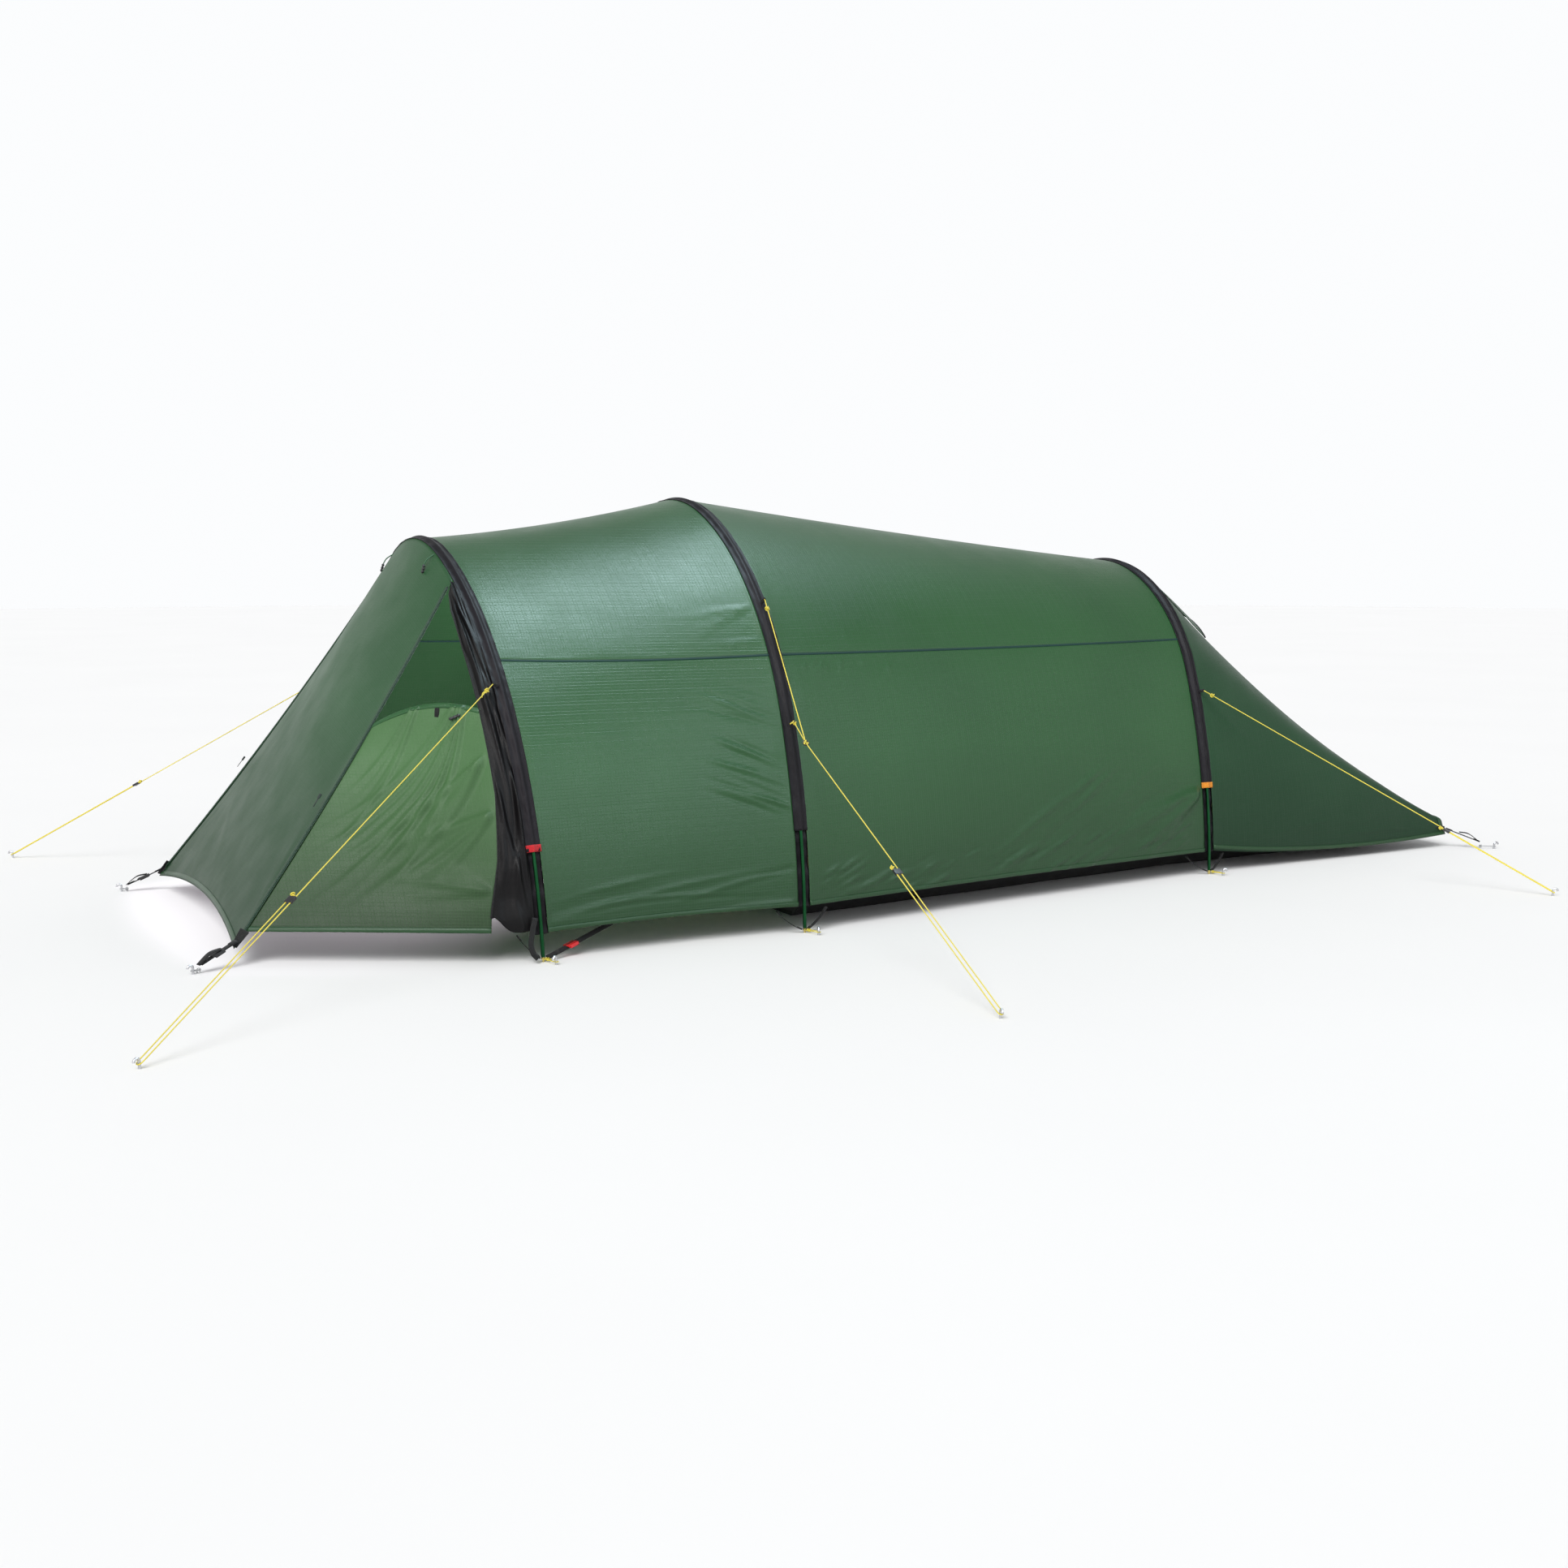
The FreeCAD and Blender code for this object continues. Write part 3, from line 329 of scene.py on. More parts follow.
def moulded(name, base, shade, rough=0.42):
    """Moulded plastic with a light spark texture and scuffs."""
    s = Shader(name, {})
    scuffs = s.span(s.noise(55, 5), 0.55, 0.75, 0, 1)
    colour = s.blend(scuffs, base, shade)
    gloss = s.uneven(rough - 0.06, rough + 0.12, 120)
    return s.finish(colour, gloss, s.cells(1500), 0.0002, 0.4)


def mesh_cloth(name):
    """Insect mesh: rows of fine dark cells."""
    s = Shader(name, {})
    net = s.math("MAXIMUM", s.bands(0.0024, "X"), s.bands(0.0024, "Y"))
    colour = s.blend(s.span(net, 0.55, 0.9, 0, 1), (0.004, 0.004, 0.004), (0.045, 0.045, 0.045))
    return s.finish(colour, s.span(net, 0, 1, 0.9, 0.6), net, 0.0006, 0.8)


def coil(name):
    """Zip coil on its tape: close cross ribs."""
    s = Shader(name, {})
    ribs = s.bands(0.0026, "Z")
    colour = s.blend(s.span(ribs, 0.2, 0.8, 0, 1), (0.006, 0.022, 0.011), (0.016, 0.060, 0.026))
    return s.finish(colour, s.span(ribs, 0, 1, 0.7, 0.42), ribs, 0.0008, 0.9)


def floor_surface():
    """A pale studio floor."""
    s = Shader("pale_floor", {})
    colour = s.blend(s.noise(0.8, 2), (0.84, 0.84, 0.84), (0.87, 0.87, 0.87))
    return s.finish(colour, s.span(s.noise(40, 2), 0, 1, 0.85, 0.95))


FINISH = {
    # The fly's green darkens towards the ground as painted shade.
    "fly_green": woven("ripstop_green", (0.020, 0.087, 0.025), (0.016, 0.072, 0.021), (0.34, 0.42),
                       ripstop=0.0075, hem=(0.62, 0.45), shine=0.36),
    "sleeve_black": woven("sleeve_charcoal", (0.009, 0.007, 0.010), (0.004, 0.0035, 0.005), (0.44, 0.56),
                          crease=0.6, shine=0.16),
    "floor_black": woven("floor_coated", (0.009, 0.009, 0.010), (0.014, 0.014, 0.015), (0.4, 0.55), 0.002),
    "inner_cloth": woven("inner_polyester", (0.50, 0.43, 0.20), (0.42, 0.36, 0.17), (0.6, 0.75), 0.0012,
                         fuzz=0.2),
    "band_red": webbing("red_binding", (0.72, 0.02, 0.03), (0.40, 0.01, 0.015)),
    "band_orange": webbing("orange_binding", (0.85, 0.33, 0.02), (0.55, 0.18, 0.01)),
    "webbing_black": webbing("black_webbing", (0.012, 0.012, 0.013), (0.004, 0.004, 0.004)),
    "mesh_black": mesh_cloth("insect_mesh"),
    "pole_green": metal("green_anodised", (0.012, 0.075, 0.026), (0.009, 0.056, 0.020), 0.36,
                        (0.07, 0.16, 0.08)),
    "bare_alloy": metal("bare_alloy", (0.62, 0.62, 0.64), (0.5, 0.5, 0.52), 0.34),
    "tip_alloy": metal("turned_tip", (0.70, 0.60, 0.22), (0.55, 0.46, 0.16), 0.28),
    "shock_cord": braid("shock_cord_cover", (0.05, 0.05, 0.055), (0.3, 0.3, 0.3)),
    "cord_yellow": braid("yellow_braid", (0.80, 0.67, 0.05), (0.93, 0.86, 0.30)),
    "plastic_black": moulded("black_acetal", (0.013, 0.013, 0.014), (0.035, 0.035, 0.037)),
    "plastic_red": moulded("red_acetal", (0.68, 0.015, 0.02), (0.5, 0.02, 0.02), 0.36),
    "zip_dark": coil("zip_coil"),
    "slider_metal": metal("slider_painted", (0.06, 0.08, 0.07), (0.03, 0.04, 0.035), 0.45, (0.3, 0.3, 0.3)),
}
# Painted light: a lighter copy of the fly's green for the doors, standing in for light through the cloth; it
# darkens strongly towards the ground as painted shade.
DOOR_GREEN_PAINTED_LIGHT = woven("door_green_painted_light", (0.064, 0.145, 0.056), (0.052, 0.122, 0.046), (0.38, 0.48), ripstop=0.0075,
                   hem=(0.24, 0.48), shine=0.24)
# Painted shade: a darker copy of the fly's green for the front panel, also darker towards the ground.
FRONT_GREEN_PAINTED_SHADE = woven("front_green_painted_shade", (0.019, 0.074, 0.025), (0.016, 0.064, 0.022), (0.40, 0.50), ripstop=0.0075,
                    hem=(0.55, 0.60), shine=0.24)
# Painted shade: a darker copy of the fly's green for the foot end, its vent hood and the zip flaps, also
# darker towards the ground.
FOOT_GREEN_PAINTED_SHADE = woven("foot_green_painted_shade", (0.011, 0.052, 0.019), (0.009, 0.043, 0.016), (0.40, 0.50), ripstop=0.0075,
                   hem=(0.70, 0.35), shine=0.22)
GUSSET_BLACK = woven("gusset_black", (0.0035, 0.003, 0.0035), (0.002, 0.002, 0.002), (0.36, 0.46), crease=0.7,
                     shine=0.16)
TEAL_SEAM = woven("seam_tape_teal", (0.009, 0.044, 0.036), (0.007, 0.034, 0.028), (0.6, 0.7), 0.001,
                  shine=0.2)
GREEN_CORD = braid("green_elastic", (0.02, 0.11, 0.04), (0.1, 0.25, 0.1))
GREY_CORD = braid("grey_cord", (0.42, 0.43, 0.44), (0.7, 0.7, 0.7))


# ---- making pieces ----
def add_object(name, data):
    """A new object in the scene."""
    made = bpy.data.objects.new(name, data)
    bpy.context.scene.collection.objects.link(made)
    return made


def turn_to(holder, direction, axis="-Z"):
    """Turns an object so that its axis points along a direction."""
    holder.rotation_euler = Vector(direction).to_track_quat(axis, "Y").to_euler()


def camera_and_light():
    data = bpy.data.cameras.new("camera")
    data.sensor_width = SENSOR
    data.lens = CAMERA_LENS
    camera = add_object("camera", data)
    camera.location = CAMERA_AT
    level = math.cos(CAMERA_PITCH)
    forward = (math.sin(CAMERA_YAW) * level, math.cos(CAMERA_YAW) * level, math.sin(CAMERA_PITCH))
    turn_to(camera, forward)
    bpy.context.scene.camera = camera
    for name, at, aim, size, power, colour in LIGHTS:
        lamp = bpy.data.lights.new(name, "AREA")
        lamp.shape = "RECTANGLE"
        lamp.size, lamp.size_y = size
        lamp.energy = power
        lamp.color = colour
        holder = add_object(name, lamp)
        holder.location = at
        turn_to(holder, Vector(aim) - Vector(at))
        holder.visible_camera = False
        holder.visible_diffuse = name == "through_cloth"
    sun = bpy.data.lights.new("key", "SUN")
    sun.energy = SUN_STRENGTH
    sun.angle = SUN_SOFTNESS
    turn_to(add_object("key", sun), SUN_FROM, "Z")
    studio_walls()


def studio_walls():
    """A bright backdrop all round, under a darker ceiling."""
    world = bpy.data.worlds.new("studio")
    tree = Nodes(world)
    rise = tree.add("SeparateXYZ", "Z", {"Vector": tree.add("TexCoord", "Generated", {})})
    glow = tree.span(rise, *CEILING_FADE, WALL_GLOW, CEILING_GLOW, interpolation_type="SMOOTHSTEP")
    tree.feed(tree.nodes["Background"], {"Color": (0.98, 0.99, 1.0, 1), "Strength": glow})
    bpy.context.scene.world = world
    bpy.context.scene.view_settings.view_transform = "Standard"


SUN_FROM = (-0.50, -0.50, 0.70)
SUN_STRENGTH = 2.85
SUN_SOFTNESS = math.radians(35)
WALL_GLOW, CEILING_GLOW = 0.99, 0.34
CEILING_FADE = (0.28, 0.7)
# name, place, aim, size, watts, colour
LIGHTS = (
    ("overhead", (0.10, -0.15, 3.9), (-0.95, -0.55, 0.7), (1.5, 1.5), 150, (0.70, 0.90, 1.0)),
    ("side_sheen", (0.55, -3.30, 2.00), (-0.88, -0.74, 0.55), (1.3, 1.0), 50, (0.80, 0.92, 1.0)),
    ("through_cloth", (-0.80, -0.10, 0.62), (-1.6, 0.55, 0.60), (0.28, 0.28), 8.5, (1.0, 0.84, 1.0)),
)


def floor():
    mesh = bpy.data.meshes.new("floor")
    bm = bmesh.new()
    bmesh.ops.create_circle(bm, cap_ends=True, segments=96, radius=30)
    bm.to_mesh(mesh)
    bm.free()
    mesh.materials.append(floor_surface())
    add_object("floor", mesh)


def smooth_piece(name, mesh, bm):
    """An object from an edited mesh, shaded smooth."""
    bm.to_mesh(mesh)
    bm.free()
    mesh.polygons.foreach_set("use_smooth", [True] * len(mesh.polygons))
    return add_object(name, mesh)


def new_piece(name, vertices, faces):
    mesh = bpy.data.meshes.new(name)
    mesh.from_pydata([tuple(v) for v in np.asarray(vertices)], [], faces)
    bm = bmesh.new()
    bm.from_mesh(mesh)
    bmesh.ops.delete(bm, geom=[v for v in bm.verts if not v.link_faces], context="VERTS")
    bmesh.ops.recalc_face_normals(bm, faces=bm.faces)
    return smooth_piece(name, mesh, bm)


def place(piece, slot, body="root", nodes=(), material=None):
    """Gives a piece its material (the slot's finish unless another is given) and its body, and hides the CAD
    nodes that it stands for.
    """
    piece.data.materials.clear()
    piece.data.materials.append(material or FINISH[slot])
    if body:
        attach(piece, body)
    if nodes:
        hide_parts(*nodes)
    return piece


def grid_normals(points, inside):
    """Unit normals of a grid of points, on the side away from a point inside."""
    normal = unit(np.cross(np.gradient(points, axis=0), np.gradient(points, axis=1)))
    away = np.sum(normal * (points - np.asarray(inside, float)))
    return -normal if away < 0 else normal


def cloth(name, points, inside, thickness=CLOTH, keep=None):
    """A closed thin sheet whose outer face is a grid of points. keep marks the cells to fill."""
    rows, columns = points.shape[:2]
    inner = points - grid_normals(points, inside) * thickness
    vertices = np.concatenate([points.reshape(-1, 3), inner.reshape(-1, 3)])
    back = rows * columns
    if keep is None:
        keep = np.ones((rows - 1, columns - 1), bool)
    padded = np.pad(keep, 1)
    faces = []
    for i, j in zip(*np.nonzero(keep)):
        a, b = i * columns + j, (i + 1) * columns + j
        faces += [(a, b, b + 1, a + 1), (back + a + 1, back + b + 1, back + b, back + a)]
        beside = ((i, j + 1, a, a + 1), (i + 2, j + 1, b + 1, b),
                  (i + 1, j, b, a), (i + 1, j + 2, a + 1, b + 1))
        faces += [(p, q, back + q, back + p) for row, column, p, q in beside if not padded[row, column]]
    return new_piece(name, vertices, faces)


def sweep(name, path, up, section, closed=False):
    """A section of (sideways, upwards) pairs carried along a path. It may change on the way."""
    path = np.asarray(path, float)
    up = np.broadcast_to(up, path.shape)
    tangent = np.gradient(path, axis=0)
    if closed:
        tangent = np.roll(path, -1, 0) - np.roll(path, 1, 0)
    tangent = unit(tangent)
    sideways = unit(np.cross(tangent, up))
    lift = np.cross(sideways, tangent)
    section = np.asarray(section, float)
    section = np.broadcast_to(section, (len(path),) + section.shape[-2:])
    rings = path[:, None] + sideways[:, None] * section[..., :1] + lift[:, None] * section[..., 1:]
    count, around = rings.shape[:2]
    faces = []
    for i in range(count if closed else count - 1):
        here, there = i * around, (i + 1) % count * around
        for j in range(around):
            k = (j + 1) % around
            faces.append((here + j, here + k, there + k, there + j))
    if not closed:
        faces.append(tuple(range(around)))
        faces.append(tuple((count - 1) * around + j for j in reversed(range(around))))
    return new_piece(name, rings.reshape(-1, 3), faces)


def circle(radius, sides=10):
    turn = np.arange(sides) / sides * 2 * math.pi
    return np.stack([radius * np.cos(turn), radius * np.sin(turn)], -1)


def flat_section(width, thickness):
    """The rounded section of a tape."""
    w, t = width / 2, thickness / 2
    edge = min(t, w) * 0.9
    return np.array([(-w, 0), (-w + edge, t), (w - edge, t), (w, 0), (w - edge, -t), (-w + edge, -t)])


def tape(name, path, up, width, thickness):
    """A flat strip with rounded edges."""
    return sweep(name, path, up, flat_section(width, thickness))


def merge(name, pieces):
    """Several meshes as one piece."""
    vertices, faces, start = [], [], 0
    for piece in pieces:
        data = piece.data
        vertices += [tuple(v.co) for v in data.vertices]
        faces += [tuple(start + i for i in face.vertices) for face in data.polygons]
        start += len(data.vertices)
        bpy.data.objects.remove(piece)
        bpy.data.meshes.remove(data)
    return new_piece(name, vertices, faces)


# ---- folds in the cloth ----
def along_and_off(a, b, at, turn):
    """Distances along and across a line on a face whose two coordinates are a and b."""
    a, b = a - at[0], b - at[1]
    return a * math.cos(turn) + b * math.sin(turn), b * math.cos(turn) - a * math.sin(turn)


def fan(a, b, at, aim, spread, count, length, width, height):
    """Folds that spread from a point."""
    total = np.zeros_like(a)
    for k in range(count):
        turn = aim + spread * ((k + 0.5) / count - 0.5) + rng.uniform(-0.04, 0.04)
        reach = length * rng.uniform(0.65, 1.1)
        along, off = along_and_off(a, b, at, turn)
        share = along / reach
        wide = width * (0.35 + np.clip(share, 0, 1))
        rise = smooth(share / 0.12) * smooth((1 - share) / 0.7)
        total += height * rng.uniform(0.6, 1.0) * np.exp(-(off / wide) ** 2) * rise
    return total


def streaks(a, b, count, span_a, span_b, length, width, height, tilt=0.0):
    """Scattered folds that run along a, within a patch of the face."""
    total = np.zeros_like(a)
    for _ in range(count):
        at = rng.uniform(*span_a), rng.uniform(*span_b)
        along, off = along_and_off(a, b, at, tilt + rng.uniform(-0.12, 0.12))
        off = off + 0.15 * along ** 2
        reach = length * rng.uniform(0.5, 1.2)
        total += height * rng.uniform(-0.6, 1.0) * np.exp(-(off / width) ** 2 - (along / reach) ** 2)
    return total


def swell(a, b, height, step=0.5):
    """Slow waves in tight cloth."""
    total = np.zeros_like(a)
    for _ in range(6):
        turn = rng.uniform(0, math.pi)
        wave = 2 * math.pi / (step * rng.uniform(0.5, 1.4))
        total += np.sin((a * math.cos(turn) + b * math.sin(turn)) * wave + rng.uniform(0, 6.3))
    return total * height / 6


# ---- fly sheet ----
def bay_points(front, rear, sag, first, last, columns, rows):
    """The cloth between two hoops, from its first to its last distance, each a (front, rear) pair."""
    u, v = grid(columns, rows)
    a = front.point(mix(first[0], last[0], v), CLOTH_EDGE)
    b = rear.point(mix(first[1], last[1], v), -CLOTH_EDGE)
    middle = mix(a, b, u[..., None])
    centre = middle * vec(1, 0, 0) + vec(0, 0, 0.3)
    return middle - unit(middle - centre) * (sag * 4 * u * (1 - u))[..., None], u, v


def raised(points, inside, height):
    return points + grid_normals(points, inside) * height[..., None]


def porch_folds(x, z):
    """Folds in the porch's side, which fan forward from the middle sleeve where the guy lines pull."""
    pull_x = MIDDLE.station - 0.02
    folds = fan(x, z, (pull_x, 0.835), math.pi + 0.30, 0.28, 6, 0.30, 0.0038, 0.0028)
    folds += fan(x, z, (pull_x, 0.745), math.pi + 0.16, 0.22, 4, 0.24, 0.0036, 0.0022)
    for low, high in ((0.545, 0.625), (0.41, 0.49), (0.33, 0.39)):
        folds += streaks(x, z, 8, (pull_x - 0.15, pull_x - 0.06), (low, high), 0.085, 0.0058, 0.0062, -0.33)
    folds += streaks(x, z, 26, (-1.15, -0.52), (0.078, 0.17), 0.15, 0.0065, 0.0055, 0.06)
    folds += streaks(x, z, 6, (-1.1, -0.7), (0.3, 0.6), 0.06, 0.007, 0.0014)
    return folds + swell(x, z, 0.003)


def cabin_folds(x, z):
    """Folds in the cabin's side: puckers under the seam, and slack cloth above the hem."""
    folds = fan(x, z, (REAR.station, 0.27), math.pi + 0.42, 0.5, 7, 0.60, 0.020, 0.0062)
    folds += streaks(x, z, 90, (-0.40, 0.98), (0.080, 0.17), 0.05, 0.0055, 0.0052, 0.35)
    folds += streaks(x, z, 16, (0.25, 0.9), (0.12, 0.32), 0.15, 0.011, 0.0060, 0.45)
    folds += streaks(x, z, 24, (-0.40, -0.08), (0.660, 0.698), 0.016, 0.0032, 0.0036, 1.1)
    return folds + swell(x, z, 0.0025, 0.6)


# name, hoops, sag, folds, columns of points
BAYS = (
    ("porch", FRONT, MIDDLE, PORCH_SAG, porch_folds, 170),
    ("cabin", MIDDLE, REAR, CABIN_SAG, cabin_folds, 250),
)
ROOF_ROWS, WALL_ROWS = 150, 140
SEAM_TAPE = (0.0075, 0.0038)


def seam_ribbon(name, edge, normal, size=HEM_TAPE, material=None):
    """A sewn tape that lies on the cloth along an edge."""
    ribbon = tape(name, edge + normal * size[1] * 0.3, normal, *size)
    return place(ribbon, "fly_green", material=material)


def fly_bays():
    """The roof and walls of the porch and the cabin, with their seams and hems."""
    for name, front, rear, sag, folds, columns in BAYS:
        seam = front.at_height(SEAM_Z), rear.at_height(SEAM_Z)
        hem = front.at_height(HEM_Z), rear.at_height(HEM_Z)
        inside = ((front.station + rear.station) / 2, 0, 0.3)
        points, u, v = bay_points(front, rear, sag, (-seam[0], -seam[1]), seam, columns, ROOF_ROWS)
        aside = np.abs(2 * v - 1)
        height = folds(points[..., 0], points[..., 2]) * smooth(aside / 0.4 - 0.5)
        points = raised(points, inside, height * smooth((1 - aside) / 0.04) * hold_edges(u))
        roof = place(cloth(name + "_roof_cloth", points, inside), "fly_green", nodes=[name + "_roof"])
        for suffix, side in SIDES:
            points, u, v = bay_points(front, rear, sag, seam, hem, columns, WALL_ROWS)
            height = folds(points[..., 0], points[..., 2]) * hold_edges(u) * smooth(v / 0.06)
            points = flip(raised(points, inside, height), side)
            wall = cloth(name + "_wall_cloth" + suffix, points, inside)
            wall = place(wall, "fly_green", nodes=[name + "_wall" + suffix])
            normal = grid_normals(points, inside)
            edge = points[:, 0] - normal[:, 0] * 0.0015
            seam_ribbon(name + "_seam_tape" + suffix, edge, normal[:, 0], SEAM_TAPE, TEAL_SEAM)
            seam_ribbon(name + "_hem_tape" + suffix, points[:, -2], normal[:, -2])


def hold_edges(u, share=0.03):
    """Nought at the sleeves and one away from them, so that folds start at the stitching."""
    return smooth(np.minimum(u, 1 - u) / share)


# ---- foot end ----
VENT_TOP, VENT_FOOT, VENT_HALF = 0.035, 0.12, 0.26
HOOD_TOP, HOOD_RIM = 0.02, 0.19
OFF_FOOT_ROOF = vec(0.62, 0, 0.785)


def foot_surface(u, across):
    """The foot end as one taper. u runs down from the rear hoop, across from hem (-1) to hem (1)."""
    share = roof_across(1)
    side = np.where(across < 0, -1, 1)
    w = np.abs(across)
    top = REAR.point(across * REAR.at_height(HEM_Z), CLOTH_EDGE)
    flat = np.clip(w / share, 0, 1)
    drop = np.clip((w - share) / (1 - share), 0, 1)
    y = side * (FOOT_HALF - 0.018 * (1 - drop)) * flat
    low = np.stack(np.broadcast_arrays(FOOT_X, y, 0.094 - 0.046 * drop), -1)
    middle = mix(top, low, u[..., None])
    return middle - vec(0.45, 0, 0.9) * (FOOT_SAG * 4 * u * (1 - u))[..., None]


def roof_across(share):
    """From a share of the roof panel's width, -1 to 1, to the across of foot_surface."""
    return share * REAR.at_height(SEAM_Z) / REAR.at_height(HEM_Z)


def soften(points, rounds):
    """Rounds off creases across the tent, less and less towards the rear hoop."""
    result = points.copy()
    fade = smooth(np.arange(points.shape[0]) / 20)[:, None, None]
    for _ in range(rounds):
        middle = (result[:, :-2] + result[:, 2:]) / 2
        result[:, 1:-1] = mix(result[:, 1:-1], middle, 0.5 * fade)
    return result


def foot_end():
    u, v = grid(96, 190, -1)
    points = soften(foot_surface(u, v), 26)
    inside = (1.4, 0, 0.05)
    x, z = points[..., 0], points[..., 2]
    folds = streaks(x, z, 12, (1.1, 1.9), (0.06, 0.13), 0.16, 0.008, 0.0030)
    folds += fan(x, z, (REAR.station, 0.55), -0.45, 0.5, 5, 0.35, 0.012, 0.0022) + swell(x, z, 0.003)
    points = raised(points, inside, folds * smooth(np.abs(v) / 0.5 - 0.3) * hold_edges(u))
    wide = np.abs(v) < roof_across(VENT_HALF * 2 - 0.02)
    hole = (u > VENT_TOP + 0.012) & (u < VENT_FOOT - 0.008) & wide
    sheet = cloth("foot_cloth", points, inside, keep=~(hole[:-1, :-1] & hole[1:, 1:]))
    place(sheet, "fly_green", nodes=["foot_roof", "foot_wall_left", "foot_wall_right"], material=FOOT_GREEN_PAINTED_SHADE)
    round(2 * REAR.at_height(HEM_Z), 2)
    normal = grid_normals(points, inside)
    for suffix, row in (("_left", -2), ("_right", 1)):
        seam_ribbon("foot_hem_tape" + suffix, points[:, row], normal[:, row])
    seam_ribbon("foot_end_tape", points[-2], normal[-2], (0.014, HEM_TAPE[1]))


def hood_surface(u, v):
    """The hood bulges off the foot roof, most at its lower rim."""
    side = 2 * v - 1
    base = foot_surface(mix(HOOD_TOP, HOOD_RIM, u), roof_across((VENT_HALF * 2 + 0.05) * side))
    lift = 0.003 + 0.020 * np.sin(u * math.pi / 2) * (1 - side ** 4)
    return base + OFF_FOOT_ROOF * lift[..., None]


def vent():
    u, v = grid(28, 90)
    points = hood_surface(u, v)
    inside = (1.0, 0, 0.4)
    points = raised(points, inside, swell(points[..., 0] * 4, points[..., 1] * 2, 0.0015) * u)
    hood = cloth("vent_hood_cloth", points, inside, 0.0014)
    place(hood, "fly_green", nodes=["vent_hood"], material=FOOT_GREEN_PAINTED_SHADE)
    rim = sweep("vent_hood_piping", points[-1], grid_normals(points, inside)[-1], circle(0.0026))
    place(rim, "webbing_black")
    u, v = grid(10, 60, -1)
    points = foot_surface(mix(VENT_TOP, VENT_FOOT, u), roof_across(v * VENT_HALF * 2)) - OFF_FOOT_ROOF * 0.004
    mesh = place(cloth("vent_mesh_cloth", points, inside, 0.0008), "mesh_black", nodes=["vent_mesh"])


# ---- porch front ----
GUSSET_TOP, GUSSET_FOOT = 0.890, 0.078
# heights and widths of the left gusset, from its foot to its top
GUSSET_WIDTHS = ((0.08, 0.105), (0.14, 0.098), (0.25, 0.070), (0.40, 0.052), (0.62, 0.046), (0.74, 0.043),
                 (0.83, 0.036), (0.87, 0.022), (0.89, 0.006))


def gusset_edge(z):
    """The left gusset's free edge, where the door is sewn on, by height."""
    width = np.interp(z, *zip(*GUSSET_WIDTHS))
    edge = FRONT.point(FRONT.at_height(z), -CLOTH_EDGE - width, -0.004)
    return edge - vec(0, 1, 0) * (0.012 * smooth(np.asarray(z, float) / 0.5 - 0.6))[..., None]


def front_panel():
    """The sheet between the two zips, arched at the hem, with folds from its two pegged corners."""
    u, v = grid(110, 96, -1)
    reach = FRONT.at_height(ZIP_TOP[2])
    side = np.abs(v)[..., None]
    edge = (ZIP_TOP - FRONT.point(reach, -CLOTH_EDGE)) * side ** 3
    edge = edge * np.stack([np.ones_like(v), np.sign(v), np.ones_like(v)], -1)
    top = FRONT.point(reach * v, -CLOTH_EDGE) + edge
    arch = 1 - v * v
    low = np.stack([ZIP_FOOT[0] + 0.026 * arch, ZIP_FOOT[1] * v, ZIP_FOOT[2] + 0.042 * arch], -1)
    t = u[..., None]
    points = mix(top, low, t) + ZIP_BOW * 4 * t * (1 - t) * (0.4 + 0.6 * side ** 2)
    inside = (-1.2, 0, 0.1)
    y, z = points[..., 1], points[..., 2]
    folds = swell(y, z, 0.004, 0.7)
    for at in (-1, 1):
        corner = (at * ZIP_FOOT[1], 0.05)
        folds += fan(y, z, corner, math.pi / 2 + at * 0.35, 0.5, 4, 0.4, 0.010, 0.0026)
    folds += streaks(y, z, 6, (-0.4, 0.4), (0.1, 0.4), 0.12, 0.012, 0.0016, 0.6)
    points = raised(points, inside, folds * hold_edges(u) * hold_edges((v + 1) / 2, 0.05))
    panel = cloth("front_panel_cloth", points, inside)
    place(panel, "fly_green", nodes=["front_panel"], material=FRONT_GREEN_PAINTED_SHADE)
    seam_ribbon("front_hem_tape", points[-2], grid_normals(points, inside)[-2])


DOOR_HINGE_TOP, DOOR_HINGE_FOOT = 0.600, 0.084
# start, aim, spread, count, length, width and height of each fan of folds
DOOR_FANS = (
    ((0.06, 0.60), -0.86, 0.62, 11, 0.74, 0.0095, 0.0078),
    ((0.01, 0.44), -0.62, 0.50, 7, 0.60, 0.014, 0.0080),
    ((0.30, 0.62), -0.98, 0.40, 5, 0.50, 0.0085, 0.0066),
    ((0.0, 0.30), -0.50, 0.6, 6, 0.42, 0.013, 0.0070),
    ((0.0, 0.10), 0.20, 0.5, 5, 0.34, 0.014, 0.0050),
)


def door_points(side):
    """A door leaf: u runs from the gusset to the zip, v from the folded top to the hem."""
    u, v = grid(90, 84)
    hinge = gusset_edge(mix(DOOR_HINGE_TOP, DOOR_HINGE_FOOT, v))
    free = zip_at(mix(DOOR_TOP_ON_ZIP, DOOR_FOOT_ON_ZIP, v))
    bow = 4 * u * (1 - u)
    crest = 0.030 * bow * smooth(1 - v / 0.35)
    belly = -0.020 * bow * smooth(v / 0.2) * smooth((1 - v) / 0.4)
    outward = unit(vec(-0.35, 0.85, 0.35))
    points = mix(hinge, free, u[..., None]) + UP * crest[..., None] + outward * belly[..., None]
    a, b = u * 0.6, (1 - v) * 0.55
    folds = sum(fan(a, b, *shape) for shape in DOOR_FANS) + swell(a, b, 0.003, 0.4)
    points = raised(points, (-1.2, 0.2, 0.1), folds * hold_edges(u, 0.04) * smooth(v / 0.03))
    return flip(points, side)


# columns of the door's points where the strap and the toggle hang
STRAP_COLUMN, TOGGLE_COLUMN = 34, 18


def bend_with_door(piece):
    """Bakes the piece's placement into its mesh."""
    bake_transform(piece)


